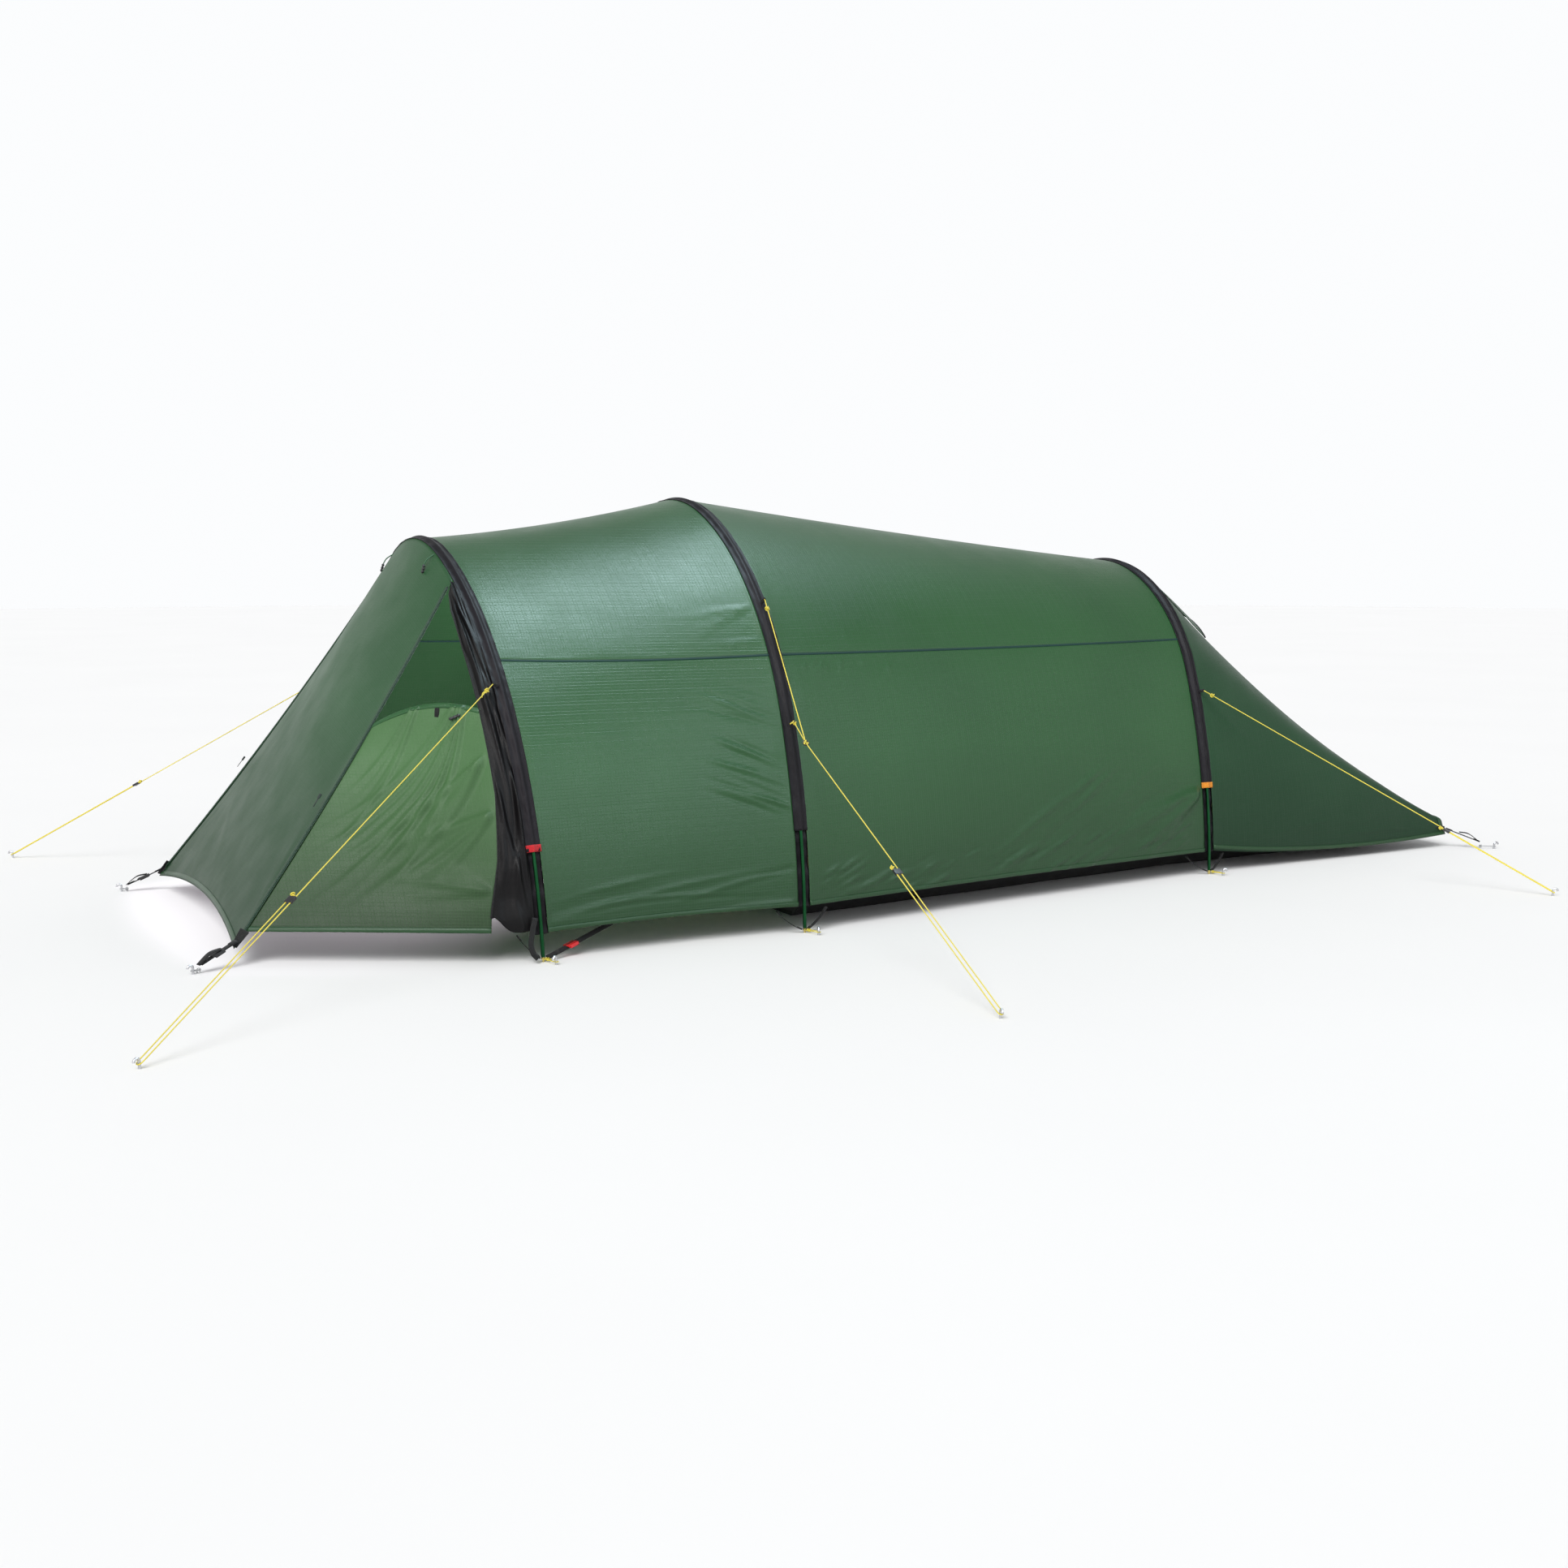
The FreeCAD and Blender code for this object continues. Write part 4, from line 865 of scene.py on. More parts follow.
def doors():
    """Each leaf with its taped edges, and the strap and toggle that hold its folded top."""
    for suffix, side in SIDES:
        points = door_points(side)
        inside = (-1.2, 0.2 * side, 0.1)
        door = cloth("door_cloth" + suffix, points, inside)
        place(door, "fly_green", None, ["door" + suffix], DOOR_GREEN_PAINTED_LIGHT)
        bend_with_door(door)
        normal = grid_normals(points, inside)
        parts = []
        for label, row in (("top", 1), ("hem", -2)):
            edging = tape("door_tape_" + label + suffix, points[:, row], normal[:, row], 0.013, 0.0028)
            parts.append(place(edging, "fly_green", None))
        near, out = points[STRAP_COLUMN, 2], normal[STRAP_COLUMN]
        run = through([near + out[2] * 0.003, near + out[6] * 0.006 - UP * 0.02,
                       near + out[8] * 0.005 - UP * 0.042], 14)
        strap = tape("door_strap" + suffix, run, out[4], 0.012, 0.0022)
        parts.append(place(strap, "webbing_black", None))
        at = points[TOGGLE_COLUMN, 5] + normal[TOGGLE_COLUMN, 5] * 0.008
        toggle = barrel("door_toggle" + suffix, at, unit([-0.8, side * -0.3, -0.35]), 0.0045, 0.030)
        parts.append(place(toggle, "plastic_black", None))
        for part in parts:
            bend_with_door(part)


def gussets():
    """The gathered black strips between the front sleeve and the doors."""
    for suffix, side in SIDES:
        u, v = grid(34, 190)
        z = mix(GUSSET_TOP, GUSSET_FOOT, v)
        sleeve = FRONT.point(FRONT.at_height(z), -CLOTH_EDGE + 0.004, -0.001)
        corner = smooth((z - GUSSET_FOOT) / -0.06 + 1) * smooth((u - 0.3) / 0.7)
        points = mix(sleeve, gusset_edge(z), u[..., None]) + UP * (0.045 * corner ** 2)[..., None]
        a, b = u * 0.07, (1 - v) * 0.8
        bulge = np.sin(u * math.pi)
        folds = streaks(b, a, 44, (0.0, 0.8), (0.006, 0.064), 0.085, 0.0060, 0.0105, 0.06)
        folds += bulge * (0.006 + 0.004 * np.sin(b * 31 + 3 * np.sin(b * 9)))
        points = raised(points, (-1.2, 0.3, 0.2), folds * hold_edges(u, 0.10))
        points = flip(points, side)
        inside = (-1.2, 0.3 * side, 0.2)
        gusset = cloth("gusset_cloth" + suffix, points, inside)
        place(gusset, "sleeve_black", nodes=["gusset" + suffix], material=GUSSET_BLACK)
        normal = grid_normals(points, inside)[-1]
        piping = sweep("gusset_piping" + suffix, points[-1], normal, circle(0.0022, 8))
        place(piping, "webbing_black")


# inset from the zip's line, lift off the cloth, width and thickness
ZIP_LAYERS = (
    ("zip_tape", 0.004, 0.0016, 0.016, 0.0016),
    ("zip_coil", 0.001, 0.0032, 0.0052, 0.003),
    ("zip_flap", 0.008, 0.0034, 0.010, 0.0012),
)


def zips():
    for suffix, side in SIDES:
        t = np.linspace(0.02, 0.97, 90)
        out = unit(flip(PANEL_OUT, side))
        layers = []
        for name, inset, lift, width, thickness in ZIP_LAYERS:
            line = flip(zip_at(t, inset), side) + out * lift
            layers.append(tape(name + suffix, line, out, width, thickness))
        backing, teeth, flap = layers
        # The flaps take the foot's painted-shade green, so they show as a darker line along each zip.
        place(flap, "fly_green", material=FOOT_GREEN_PAINTED_SHADE)
        place(backing, "zip_dark", nodes=["door_zips"])
        place(teeth, "zip_dark")


# ---- sleeves ----
BAND_SLOTS = {"front": "band_red", "rear": "band_orange"}
SLEEVE_POINTS = 23


def sleeve_section(distance):
    """A flat tunnel of two layers, with the pole's ridge along it and a piped edge each side."""
    s = np.linspace(-1, 1, SLEEVE_POINTS)
    ridge = np.exp(-(s / 0.36) ** 2)
    piping = np.exp(-((np.abs(s) - 0.93) / 0.08) ** 2)
    upper = np.stack([s * SLEEVE_HALF, 0.0012 + 0.0062 * ridge + 0.0014 * piping], -1)
    lower = np.stack([s * SLEEVE_HALF * 0.985, -0.0010 - 0.0052 * ridge], -1)[-2:0:-1]
    ring = np.concatenate([upper, lower])
    ring = np.broadcast_to(ring, (len(distance),) + ring.shape).copy()
    ripple = np.zeros(len(distance))
    for _ in range(7):
        ripple += np.sin(distance * rng.uniform(14, 95) + rng.uniform(0, 6))
    crinkle = np.sin(distance[:, None] * 130 + 3 * np.sin(distance[:, None] * 17) + s * 4)
    loose = (1 - ridge) * (1 - piping)
    ring[:, :SLEEVE_POINTS, 1] += (0.0005 * crinkle + 0.0003 * ripple[:, None]) * loose
    return ring


def sleeves():
    for name, hoop in HOOPS.items():
        reach = hoop.at_height(SLEEVE_END_Z)
        distance = np.linspace(-reach, reach, 420)
        section = sleeve_section(distance)
        tunnel = sweep("sleeve_cloth_" + name, hoop.point(distance), hoop.outward(distance), section)
        tunnel = place(tunnel, "sleeve_black", nodes=["sleeve_" + name])
        if name in BAND_SLOTS:
            bands = []
            for _, side in SIDES:
                run = np.linspace(reach - 0.016, reach + 0.001, 5) * side
                round_sleeve = sleeve_section(run) * (1.09, 1.32)
                bands.append(sweep("band", hoop.point(run), hoop.outward(run), round_sleeve))
            bands = merge("sleeve_bands_" + name + "_tape", bands)
            place(bands, BAND_SLOTS[name], nodes=["sleeve_bands_" + name])
        for suffix, side in SIDES:
            sleeve_strip(name, hoop, reach, suffix, side)


def sleeve_strip(name, hoop, reach, suffix, side):
    """The loose strip that joins the fly along the bare lower end of a pole."""
    run = np.linspace(reach - 0.004, hoop.at_height(HEM_Z - 0.004), 60)
    sway = 0.0022 * np.sin(run * 60) + 0.0014 * np.sin(run * 133 + 1)
    out = hoop.outward(run)
    path = hoop.point(run, 0.0, -0.0075) + out * (sway * smooth((run - reach) / 0.03))[:, None]
    edges = np.linspace(-1, 1, 11)
    bow = 0.0012 * np.cos(edges * 7)
    upper = np.stack([edges * SLEEVE_HALF, 0.0008 + bow], -1)
    lower = np.stack([edges * SLEEVE_HALF, -0.0008 + bow], -1)[::-1]
    strip = sweep("sleeve_strip_" + name + suffix, flip(path, side), flip(out, side),
                  np.concatenate([upper, lower]))
    place(strip, "sleeve_black")


# ---- inside ----
INNER_GAP = 0.070
TUB_STATIONS = (-0.409, 1.030, 1.970)
TUB_HALF_WIDTHS = (0.742, 0.516, 0.452)
TUB_FLARE = 0.140
TUB_SIDE = 0.110
TUB_FLOOR_SHARE = 0.80


def tub_floor():
    """The floor with its raised, slightly slumped sides."""
    front, foot = TUB_STATIONS[0], TUB_STATIONS[-1]
    climb = np.linspace(0, 1, 9)[1:]
    floor_x = np.linspace(front, foot - TUB_FLARE, 130)
    x = np.concatenate([np.full(8, front), floor_x, foot - TUB_FLARE + TUB_FLARE * climb])[:, None]
    end_rise = np.concatenate([climb[::-1], np.zeros(130), climb])[:, None]
    width = np.interp(x, TUB_STATIONS, TUB_HALF_WIDTHS)
    s = np.linspace(-1, 1, 91)
    side_rise = np.clip((np.abs(s) - TUB_FLOOR_SHARE) / (1 - TUB_FLOOR_SHARE), 0, 1)
    rise = np.maximum(side_rise, end_rise)
    slump = 0.004 * np.sin(rise * math.pi) * np.sin(x * 13)
    reach = np.clip(np.abs(s) / TUB_FLOOR_SHARE, 0, 1) * (width - TUB_FLARE * (1 - rise) - 0.003)
    y = np.sign(s) * (reach + slump)
    creases = 0.0016 * np.abs(np.sin(x * 9 + 2 * np.sin(y * 7))) ** 6 * (1 - rise)
    points = np.stack(np.broadcast_arrays(x, y, 0.0022 + TUB_SIDE * rise + creases), -1)
    sheet = cloth("groundsheet_cloth", points, (0.7, 0, 2.0), 0.0016)
    place(sheet, "floor_black", nodes=["groundsheet"])


def inner_tent():
    """The breathable cabin, hung inside the fly, with slack between its hanging points."""
    hang_front, hang_rear = MIDDLE.at_height(0.155), REAR.at_height(0.155)
    inside = (0.7, 0, 0.2)
    for label, columns, flat, area in (("cabin", 84, (1.45, 2.40), 2.95), ("foot", 56, (1.22, 2.05), 1.75)):
        u, v = grid(columns, 90, -1)
        if label == "cabin":
            a = MIDDLE.point(hang_front * v, 0.074, -INNER_GAP)
            b = REAR.point(hang_rear * v, 0, -INNER_GAP)
            points = mix(a, b, u[..., None])
            points[..., 2] = np.maximum(points[..., 2], 0.116)
        else:
            a = REAR.point(hang_rear * v, 0.001, -INNER_GAP)
            across = np.sign(v) * np.minimum(1, 1.9 * np.abs(v))
            b = np.stack([np.full_like(v, 1.965), 0.440 * across, 0.115 + 0.024 * (1 - np.abs(v))], -1)
            points = mix(a, b, u[..., None])
        hang = -0.006 * np.abs(np.sin(u * math.pi * 3)) * hold_edges(u)
        hang += swell(points[..., 0], points[..., 1], 0.003)
        points = raised(points, inside, hang * hold_edges(u) * smooth((1 - np.abs(v)) / 0.1))
        sheet = cloth("inner_" + label + "_cloth", points, inside, 0.001)
        place(sheet, "inner_cloth", nodes=["inner_tent"])
    front_wall_and_door()


INNER_WALL_X = -0.413
DOOR_HALF, DOOR_SILL, DOOR_ARCH_Z = 0.270, 0.165, 0.530


def doorway(grow, count=72):
    """The inner doorway's outline in (y, z), anticlockwise from its lower left corner."""
    half, sill = DOOR_HALF + grow, DOOR_SILL - grow
    turn = np.linspace(0, math.pi, count)
    arch = np.stack([half * np.cos(turn), DOOR_ARCH_Z + half * np.sin(turn)], -1)
    rise = np.linspace(sill, DOOR_ARCH_Z, 24)[:-1]
    up = np.stack([np.full_like(rise, half), rise], -1)
    base = np.linspace(-half, half, 36)[1:-1]
    bottom = np.stack([base, np.full_like(base, sill)], -1)
    return np.concatenate([up, arch, up[::-1] * (-1, 1), bottom])


def wall_ring(hole):
    """Points on the front wall's outer edge, one in line with each point of the doorway."""
    middle_z = 0.45
    reach = MIDDLE.at_height(0.115)
    ring = MIDDLE.point(np.linspace(-reach, reach, 400), 0, -INNER_GAP)[:, 1:]
    base = np.stack([np.linspace(ring[-1, 0], ring[0, 0], 200), np.full(200, 0.108)], -1)
    ring = np.concatenate([ring, base])
    ring_angle = np.arctan2(ring[:, 1] - middle_z, ring[:, 0])
    order = np.argsort(ring_angle)
    angle = np.arctan2(hole[:, 1] - middle_z, hole[:, 0])
    around = [np.interp(angle, ring_angle[order], ring[order, k], period=2 * math.pi) for k in (0, 1)]
    return np.stack(around, -1)


def upright(name, flat, out):
    """A sheet in the inner tent's front wall, from (y, z) points and how far each stands out."""
    points = np.concatenate([INNER_WALL_X + out[..., None], flat], -1)
    return cloth(name, points, (INNER_WALL_X + 1, 0, 0.4))


def front_wall_and_door():
    """The inner tent's front wall round its doorway, the zipped leaf and the zip."""
    hole = doorway(0.0025)
    loop = np.append(np.arange(len(hole)), 0)
    u = np.linspace(0, 1, 14)[:, None, None]
    flat = mix(hole[loop], wall_ring(hole)[loop], u)
    ripple = 0.002 * np.sin(flat[..., 0] * 19 + np.sin(flat[..., 1] * 8)) * np.sin(u[..., 0] * math.pi)
    wall = upright("inner_front_cloth", flat, ripple)
    place(wall, "inner_cloth", nodes=["inner_front_wall"])
    edge = doorway(-0.001)
    loop = np.append(np.arange(len(edge)), 0)
    u = np.linspace(0.02, 1, 22)[:, None]
    flat = mix(np.array([0.0, 0.48]), edge[loop], u[..., None])
    belly = 0.003 * np.cos(flat[..., 0] * 9) * np.sin(flat[..., 1] * 8) * (1 - u)
    leaf = upright("inner_door_cloth", flat, 0.0002 + belly)
    place(leaf, "inner_cloth", "inner_door", ["inner_door"])
    seam = np.concatenate([np.full((len(hole), 1), INNER_WALL_X - 0.001), doorway(0.009)], -1)
    tape = sweep("inner_door_zip", seam, vec(-1, 0, 0), flat_section(0.010, 0.0018), closed=True)
    place(tape, "zip_dark")


# ---- small parts ----
def barrel(name, at, axis, radius, length):
    """A waisted toggle."""
    t = np.linspace(-0.5, 0.5, 22)
    rounded_ends = np.sqrt(np.clip(1 - (2 * t) ** 10, 0.12, 1))
    swell_out = radius * (0.82 + 0.18 * np.cos(t * 2 * math.pi * 3)) * rounded_ends
    path = np.asarray(at) + np.outer(t * length, unit(axis))
    section = circle(1.0, 16)[None] * swell_out[:, None, None]
    return sweep(name, path, unit(np.cross(axis, [0.31, 0.52, 0.79])), section)


def knot(name, at, axis, size, cord=CORD, tail=0.0):
    """A tight overhand knot, with a short tail if asked. It lies on the ground, not in it."""
    lowest = cord * 0.6
    turn = np.linspace(0, 2 * math.pi, 90, endpoint=False)
    ring = size * (0.62 + 0.38 * np.cos(3 * turn))
    x, y = ring * np.cos(2 * turn), ring * np.sin(2 * turn)
    z = size * 0.55 * np.sin(3 * turn)
    axis = unit(axis)
    side = unit(np.cross(axis, [0.3, 0.5, 0.81]))
    other = np.cross(axis, side)
    path = np.asarray(at) + np.outer(x, side) + np.outer(y, other) + np.outer(z * 1.5, axis)
    path[:, 2] = np.maximum(path[:, 2], lowest)
    pieces = [sweep(name + "_turns", path, axis + 0.13 * side, circle(cord / 2, 8), closed=True)]
    if tail:
        start = np.asarray(at) + side * size * 0.5
        bend = start + side * tail * 0.4 + axis * tail * 0.25
        run = through([start, bend, start + side * tail * 0.7 - UP * tail * 0.5], 12)
        run[:, 2] = np.maximum(run[:, 2], lowest)
        pieces.append(sweep(name + "_tail", run, other, circle(cord / 2, 8)))
    return merge(name, pieces)


def refined(node, bevel):
    """A CAD part's own shape with rounded edges."""
    bm = bmesh.new()
    bm.from_mesh(frame["nodes"][node].data)
    bmesh.ops.remove_doubles(bm, verts=bm.verts, dist=1e-6)
    bmesh.ops.dissolve_limit(bm, angle_limit=math.radians(3), verts=bm.verts, edges=bm.edges)
    sharp = [e for e in bm.edges if len(e.link_faces) == 2 and e.calc_face_angle() > math.radians(30)]
    bmesh.ops.bevel(bm, geom=sharp, offset=bevel, segments=3, affect="EDGES", profile=0.6, clamp_overlap=True)
    return smooth_piece(node + "_rounded", bpy.data.meshes.new(node + "_rounded"), bm)


# node, slot, edge radius
HARDWARE = (
    ("tensioner_front", "plastic_black", 0.0009),
    ("tensioner_middle", "plastic_black", 0.0009),
    ("tensioner_rear", "plastic_black", 0.0009),
    ("corner_buckle", "plastic_black", 0.0007),
    ("red_buckle", "plastic_red", 0.0007),
    ("zip_slider", "slider_metal", 0.0005),
)


def hardware():
    for stem, slot, bevel in HARDWARE:
        for suffix, _ in SIDES:
            node = stem + suffix
            place(refined(node, bevel), slot, node, [node])


def strap_between(name, ends, width, sag, up=UP, thickness=0.0018, count=18):
    """Webbing with a little slack, and a folded bar of stitching at each end."""
    a, b = (np.asarray(e, float) for e in ends)
    t = np.linspace(0, 1, count)[:, None]
    path = mix(a, b, t) - UP * sag * 4 * t * (1 - t)
    pieces = [tape(name + "_run", path, up, width, thickness)]
    ahead = path[1] - path[0]
    lift = unit(np.cross(np.cross(ahead, up), ahead))
    for end in (slice(0, 4), slice(-4, None)):
        fold = path[end] + lift * thickness
        pieces.append(tape(name + "_fold", fold, up, width * 0.96, thickness))
    return merge(name, pieces)


def pole_foot(hoop):
    return hoop.point(hoop.half_length) * vec(1, 1, 0)


MIDDLE_STRAPS, REAR_STRAPS = (-0.075, 0.070), (-0.080, 0.062)
RED_REACH = vec(0.210, -0.092, 0.060)
FRONT_STRAP = ((-1.856, 0.568, 0.062), (-1.944, 0.596, 0.020))
FOOT_STRAP = ((2.068, 0.494, 0.062), (2.150, 0.560, 0.022))


def straps():
    """All the webbing at the pole feet and the fly's corners."""
    groups = {"foot_straps_front": [], "foot_straps_middle": [], "foot_straps_rear": [], "corner_straps": []}
    for _, side in SIDES:
        foot = pole_foot(FRONT)
        tip = foot + vec(-0.009, 0, 0.009)
        end = foot + vec(0.009, 0, 0.009)
        red = strap_between("s", flip([foot + RED_REACH, end], side), 0.012, 0.0, flip([0.1, 1.0, 0.5], side))
        short = strap_between("s", flip([tip + vec(-0.053, -0.012, 0.057), tip], side), 0.010, 0.004)
        curl = tip + [[-0.012, 0.006, 0.100], [-0.020, 0.010, 0.070], [-0.026, 0.015, 0.040],
                      [-0.022, 0.018, 0.018], [-0.010, 0.018, 0.004]]
        tail = tape("s", flip(through(curl, 30), side), vec(0, 1, 0), 0.014, 0.0030)
        groups["foot_straps_front"] += [red, short, tail]
        for key, hoop, lengths in (("middle", MIDDLE, MIDDLE_STRAPS), ("rear", REAR, REAR_STRAPS)):
            foot = pole_foot(hoop)
            for length in lengths:
                hem = foot + vec(length, -0.014, 0.058)
                low = foot + vec(math.copysign(0.009, length), 0, 0.009)
                strap = strap_between("s", flip([hem, low], side), 0.010, 0.005)
                groups["foot_straps_" + key].append(strap)
        for start, end in (FRONT_STRAP, FOOT_STRAP):
            aim = unit(np.subtract(end, start))
            loose = start + aim * 0.045 + UP * 0.006
            run = through([loose, loose + aim * 0.03 + UP * 0.006, loose + aim * 0.062 - UP * 0.004], 14)
            groups["corner_straps"] += [
                strap_between("s", flip([start, end], side), 0.020, 0.0),
                tape("s", flip(run, side), UP, 0.018, 0.0022),
            ]
    for node, pieces in groups.items():
        place(merge(node + "_webbing", pieces), "webbing_black", nodes=[node])
    corner_patches()


CORNERS = {
    "front": (ZIP_FOOT + vec(0.012, -0.004, 0.016), (-0.62, 0.2, -0.76), (-0.5, 0.75, 0.42)),
    "foot": (vec(FOOT_X - 0.020, FOOT_HALF - 0.006, 0.066), (0.84, 0.50, -0.2), (0.3, 0.75, 0.6)),
}


def corner_patches():
    """The black reinforcements at the fly's four corners, each narrowing outwards."""
    for suffix, side in SIDES:
        for name, (at, aim, out) in CORNERS.items():
            aim, out = flip(unit(aim), side), flip(unit(out), side)
            run = flip(at, side) + np.outer(np.linspace(-0.030, 0.016, 14), aim) + out * 0.004
            width = np.linspace(1.0, 0.62, 14)[:, None, None]
            patch = sweep("corner_patch_" + name + suffix, run, out, flat_section(0.026, 0.0026) * width)
            place(patch, "webbing_black")


# ---- guy lines and loops ----
GUY_TOPS = {
    "front": (-1.24221, 0.64438, 0.65262),
    "middle": (-0.47707, 0.57508, 0.84773),
    "rear": (1.04607, 0.49084, 0.55258),
}
JUNCTION = vec(-0.482, 0.822, 0.491)
BRANCH_TOP = vec(-0.47483, 0.74406, 0.53517)
# the peg's place, the tensioner's share of the way down, the cord's length
GUY_ENDS = {
    "front": ((-2.190, 1.390), 0.63, 1.907),
    "middle": ((-0.521, 1.790), 0.525, 2.063),
    "rear": ((1.662, 1.292), 0.71, 1.515),
}
STRAND_GAP = 0.006
TURN_Z = 0.012
TENSIONER_HALF = 0.010
TOP_KNOT_DOWN = 0.030
JUNCTION_BEND = CORD * 6
LOOP_Z = 0.008


def guy_route(name):
    """The route's points on the left side: top, junction, round the peg, and back to the tensioner."""
    top = np.array(GUY_TOPS[name])
    start = JUNCTION if name == "middle" else top
    (x, y), share, _ = GUY_ENDS[name]
    turn = vec(x, y, TURN_Z)
    side = unit(np.cross(UP, turn - start))
    end = turn - side * STRAND_GAP - unit(turn - start) * 0.0006
    along = unit(end - start)
    gap = side * STRAND_GAP * 2
    near = along * CORD * 6
    back = mix(start, end, share) + gap - along * (TENSIONER_HALF + 0.008)
    points = [top]
    if name == "middle":
        before = JUNCTION - unit(JUNCTION - top) * JUNCTION_BEND
        points += [before, JUNCTION, JUNCTION + along * JUNCTION_BEND]
    past = end + along * STRAND_GAP
    points += [end - near, past, past + gap, end + gap - near, back]
    return np.array(points), along


def spline(name, points, diameter):
    """A cord: one smooth open spline of round section."""
    data = bpy.data.curves.new(name, "CURVE")
    data.dimensions = "3D"
    data.bevel_depth = diameter / 2
    data.bevel_resolution = 3
    data.resolution_u = 28
    data.use_fill_caps = True
    line = data.splines.new("NURBS")
    line.points.add(len(points) - 1)
    for control, at in zip(line.points, points):
        control.co = (*at, 1)
    line.order_u = 3
    line.use_endpoint_u = True
    return add_object(name, data)


def guy_lines():
    for suffix, side in SIDES:
        for name in GUY_TOPS:
            points, along = guy_route(name)
            line = spline("guyline_cord_" + name + suffix, flip(points, side), CORD)
            place(line, "cord_yellow", nodes=["guyline_" + name + suffix])
            first = unit(points[1] - points[0])
            knot_at = flip(points[0] + first * TOP_KNOT_DOWN, side)
            top_knot = knot("guyline_knot_" + name + suffix, knot_at, flip(first, side), 0.0052, tail=0.022)
            ends_at, axis = flip(points[-1], side), flip(along, side)
            end_knot = knot("guyline_end_" + name + suffix, ends_at, axis, 0.0046)
            place(top_knot, "cord_yellow")
            place(end_knot, "cord_yellow")
        branch(suffix, side)


def branch(suffix, side):
    """The short lower line of the middle guy, tied on at the junction with a small ring."""
    top, at = flip(BRANCH_TOP, side), flip(JUNCTION, side)
    run = [top, mix(top, at, 0.5), mix(top, at, 0.95)]
    line = spline("guyline_cord_branch" + suffix, run, CORD)
    place(line, "cord_yellow", nodes=["guyline_branch" + suffix])
    tie = knot("guyline_knot_branch" + suffix, at, flip([0, 0.7, -0.7], side), 0.0062, tail=0.026)
    place(tie, "cord_yellow")
    turn = np.linspace(0, 2 * math.pi, 36, endpoint=False)
    ring = at + np.outer(np.cos(turn), vec(0.008, 0, 0))
    ring = ring + np.outer(np.sin(turn), flip([0, 0.0056, -0.0056], side))
    ring = sweep("guyline_ring" + suffix, ring, flip([0, 0.7, 0.7], side), circle(0.0016, 8), closed=True)
    place(ring, "plastic_black")
    top_tie = knot("guyline_tie_branch" + suffix, top, flip([0, 0.9, -0.4], side), 0.0050, tail=0.02)
    place(top_tie, "cord_yellow")


# hoop, end, height on the sleeve, place across it
LOOPS = (
    (FRONT, GUY_TOPS["front"], 0.644, -0.55),
    (REAR, GUY_TOPS["rear"], 0.547, 0.55),
    (MIDDLE, GUY_TOPS["middle"], 0.831, 0),
    (MIDDLE, BRANCH_TOP, 0.527, 0),
)


def guy_loops():
    """Folded webbing loops, sewn to the sleeves, that hold the lines' tops."""
    pieces = []
    for hoop, end, height, across in LOOPS:
        root = hoop.point(hoop.at_height(height), across * SLEEVE_HALF, 0.0075)
        aim = unit(end - root)
        lift = unit(np.cross(np.cross(aim, unit(np.cross(aim, [0.0, 0.3, 1.0]))), aim))
        for _, side in SIDES:
            for offset in (-0.0016, 0.0016):
                run = through([root, mix(root, end, 0.5) + lift * offset * 1.6, end + aim * 0.003], 12)
                pieces.append(tape("loop", flip(run, side), flip(lift, side), 0.009, 0.0014))
    place(merge("guy_loops_webbing", pieces), "webbing_black", nodes=["guy_loops"])


def peg_loop_ends():
    """Name, start, peg and finish of each thin loop on the left side."""
    ends = [("front_corner", np.array(FRONT_STRAP[1]), vec(-1.962, 0.602, 0), GREY_CORD),
            ("foot_corner", np.array(FOOT_STRAP[1]), vec(2.186, 0.590, 0), GREY_CORD)]
    for name, hoop in HOOPS.items():
        foot = pole_foot(hoop)
        ends.append((name + "_foot", foot + vec(0.006, 0.006, 0.008), foot + vec(0.016, 0.046, 0), None))
    return ends


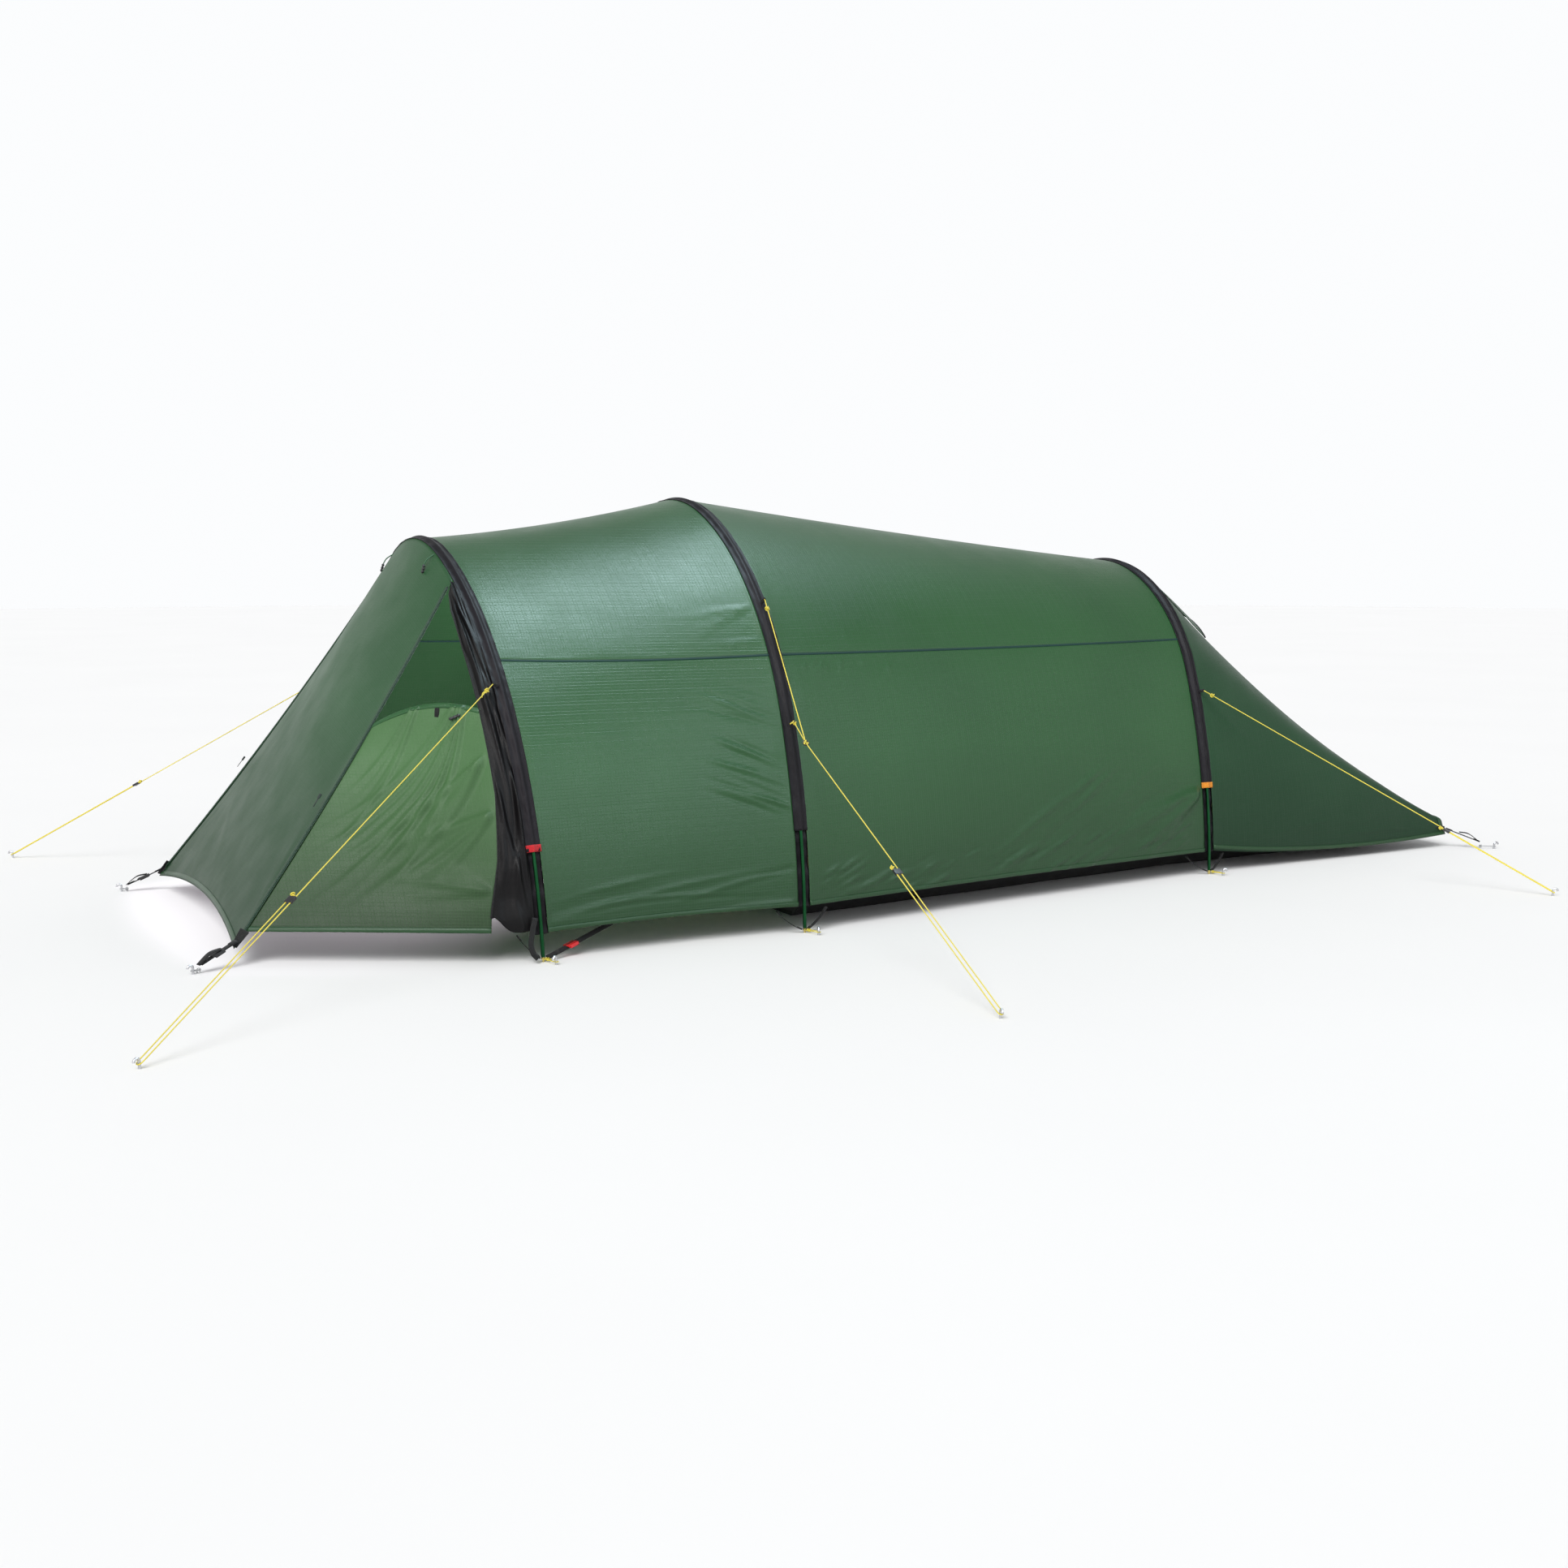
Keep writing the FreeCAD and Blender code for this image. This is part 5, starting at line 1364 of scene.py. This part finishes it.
def peg_loops():
    """Each loop runs out along one side, round its peg and back."""
    for suffix, side in SIDES:
        for label, start, stake, material in peg_loop_ends():
            aim = unit((stake - start) * vec(1, 1, 0))
            near = vec(start[0], start[1], LOOP_Z) + aim * 0.004
            corner = vec(stake[0], stake[1], LOOP_Z) + aim * 0.005
            across = vec(-aim[1], aim[0], 0) * 0.005
            before = corner - aim * 0.010
            run = [near + across, before + across, corner + across]
            run += [corner - across, before - across, near - across]
            loop = spline("peg_loop_" + label + suffix, flip(run, side), LOOP_CORD)
            place(loop, "cord_yellow", nodes=["peg_loops"], material=material)
            at, axis = flip(near, side), flip(aim, side)
            tie = knot("peg_knot_" + label + suffix, at, axis, 0.0042, LOOP_CORD, tail=0.012)
            place(tie, "cord_yellow", material=material)


def crown_toggles():
    """The toggles under the front hoop's crown, each on an elastic loop."""
    pieces = []
    for suffix, side in SIDES:
        distance = FRONT.at_height(0.968) * side
        at = FRONT.point(distance, -0.008) + vec(-0.040, 0, -0.030)
        hang = unit([-0.3, 0.1 * side, -1])
        pieces.append(barrel("toggle" + suffix, at + hang * 0.012, hang, 0.004, 0.024))
        top = FRONT.point(distance, -CLOTH_EDGE, -0.002)
        run = through([top, mix(top, at, 0.5) + vec(-0.006, 0, 0), at], 12)
        elastic = sweep("toggle_elastic" + suffix, run, vec(0, 1, 0), circle(0.0016, 8))
        place(elastic, "webbing_black", material=GREEN_CORD)
    place(merge("crown_toggles", pieces), "plastic_black", nodes=["toggles"])


def cad_finishes():
    """The carried-over CAD parts get their finishes; their shapes stay."""
    slots = {row["node"]: row["material_slot"] for row in frame["record"]["subparts"]}
    for name, node in frame["nodes"].items():
        node.data.materials.clear()
        node.data.materials.append(FINISH[slots[name]])


def main():
    camera_and_light()
    cad_finishes()
    hardware()
    guy_lines()
    peg_loops()
    floor()
    fly_bays()
    foot_end()
    vent()
    front_panel()
    doors()
    gussets()
    zips()
    sleeves()
    tub_floor()
    inner_tent()
    straps()
    guy_loops()
    crown_toggles()


main()
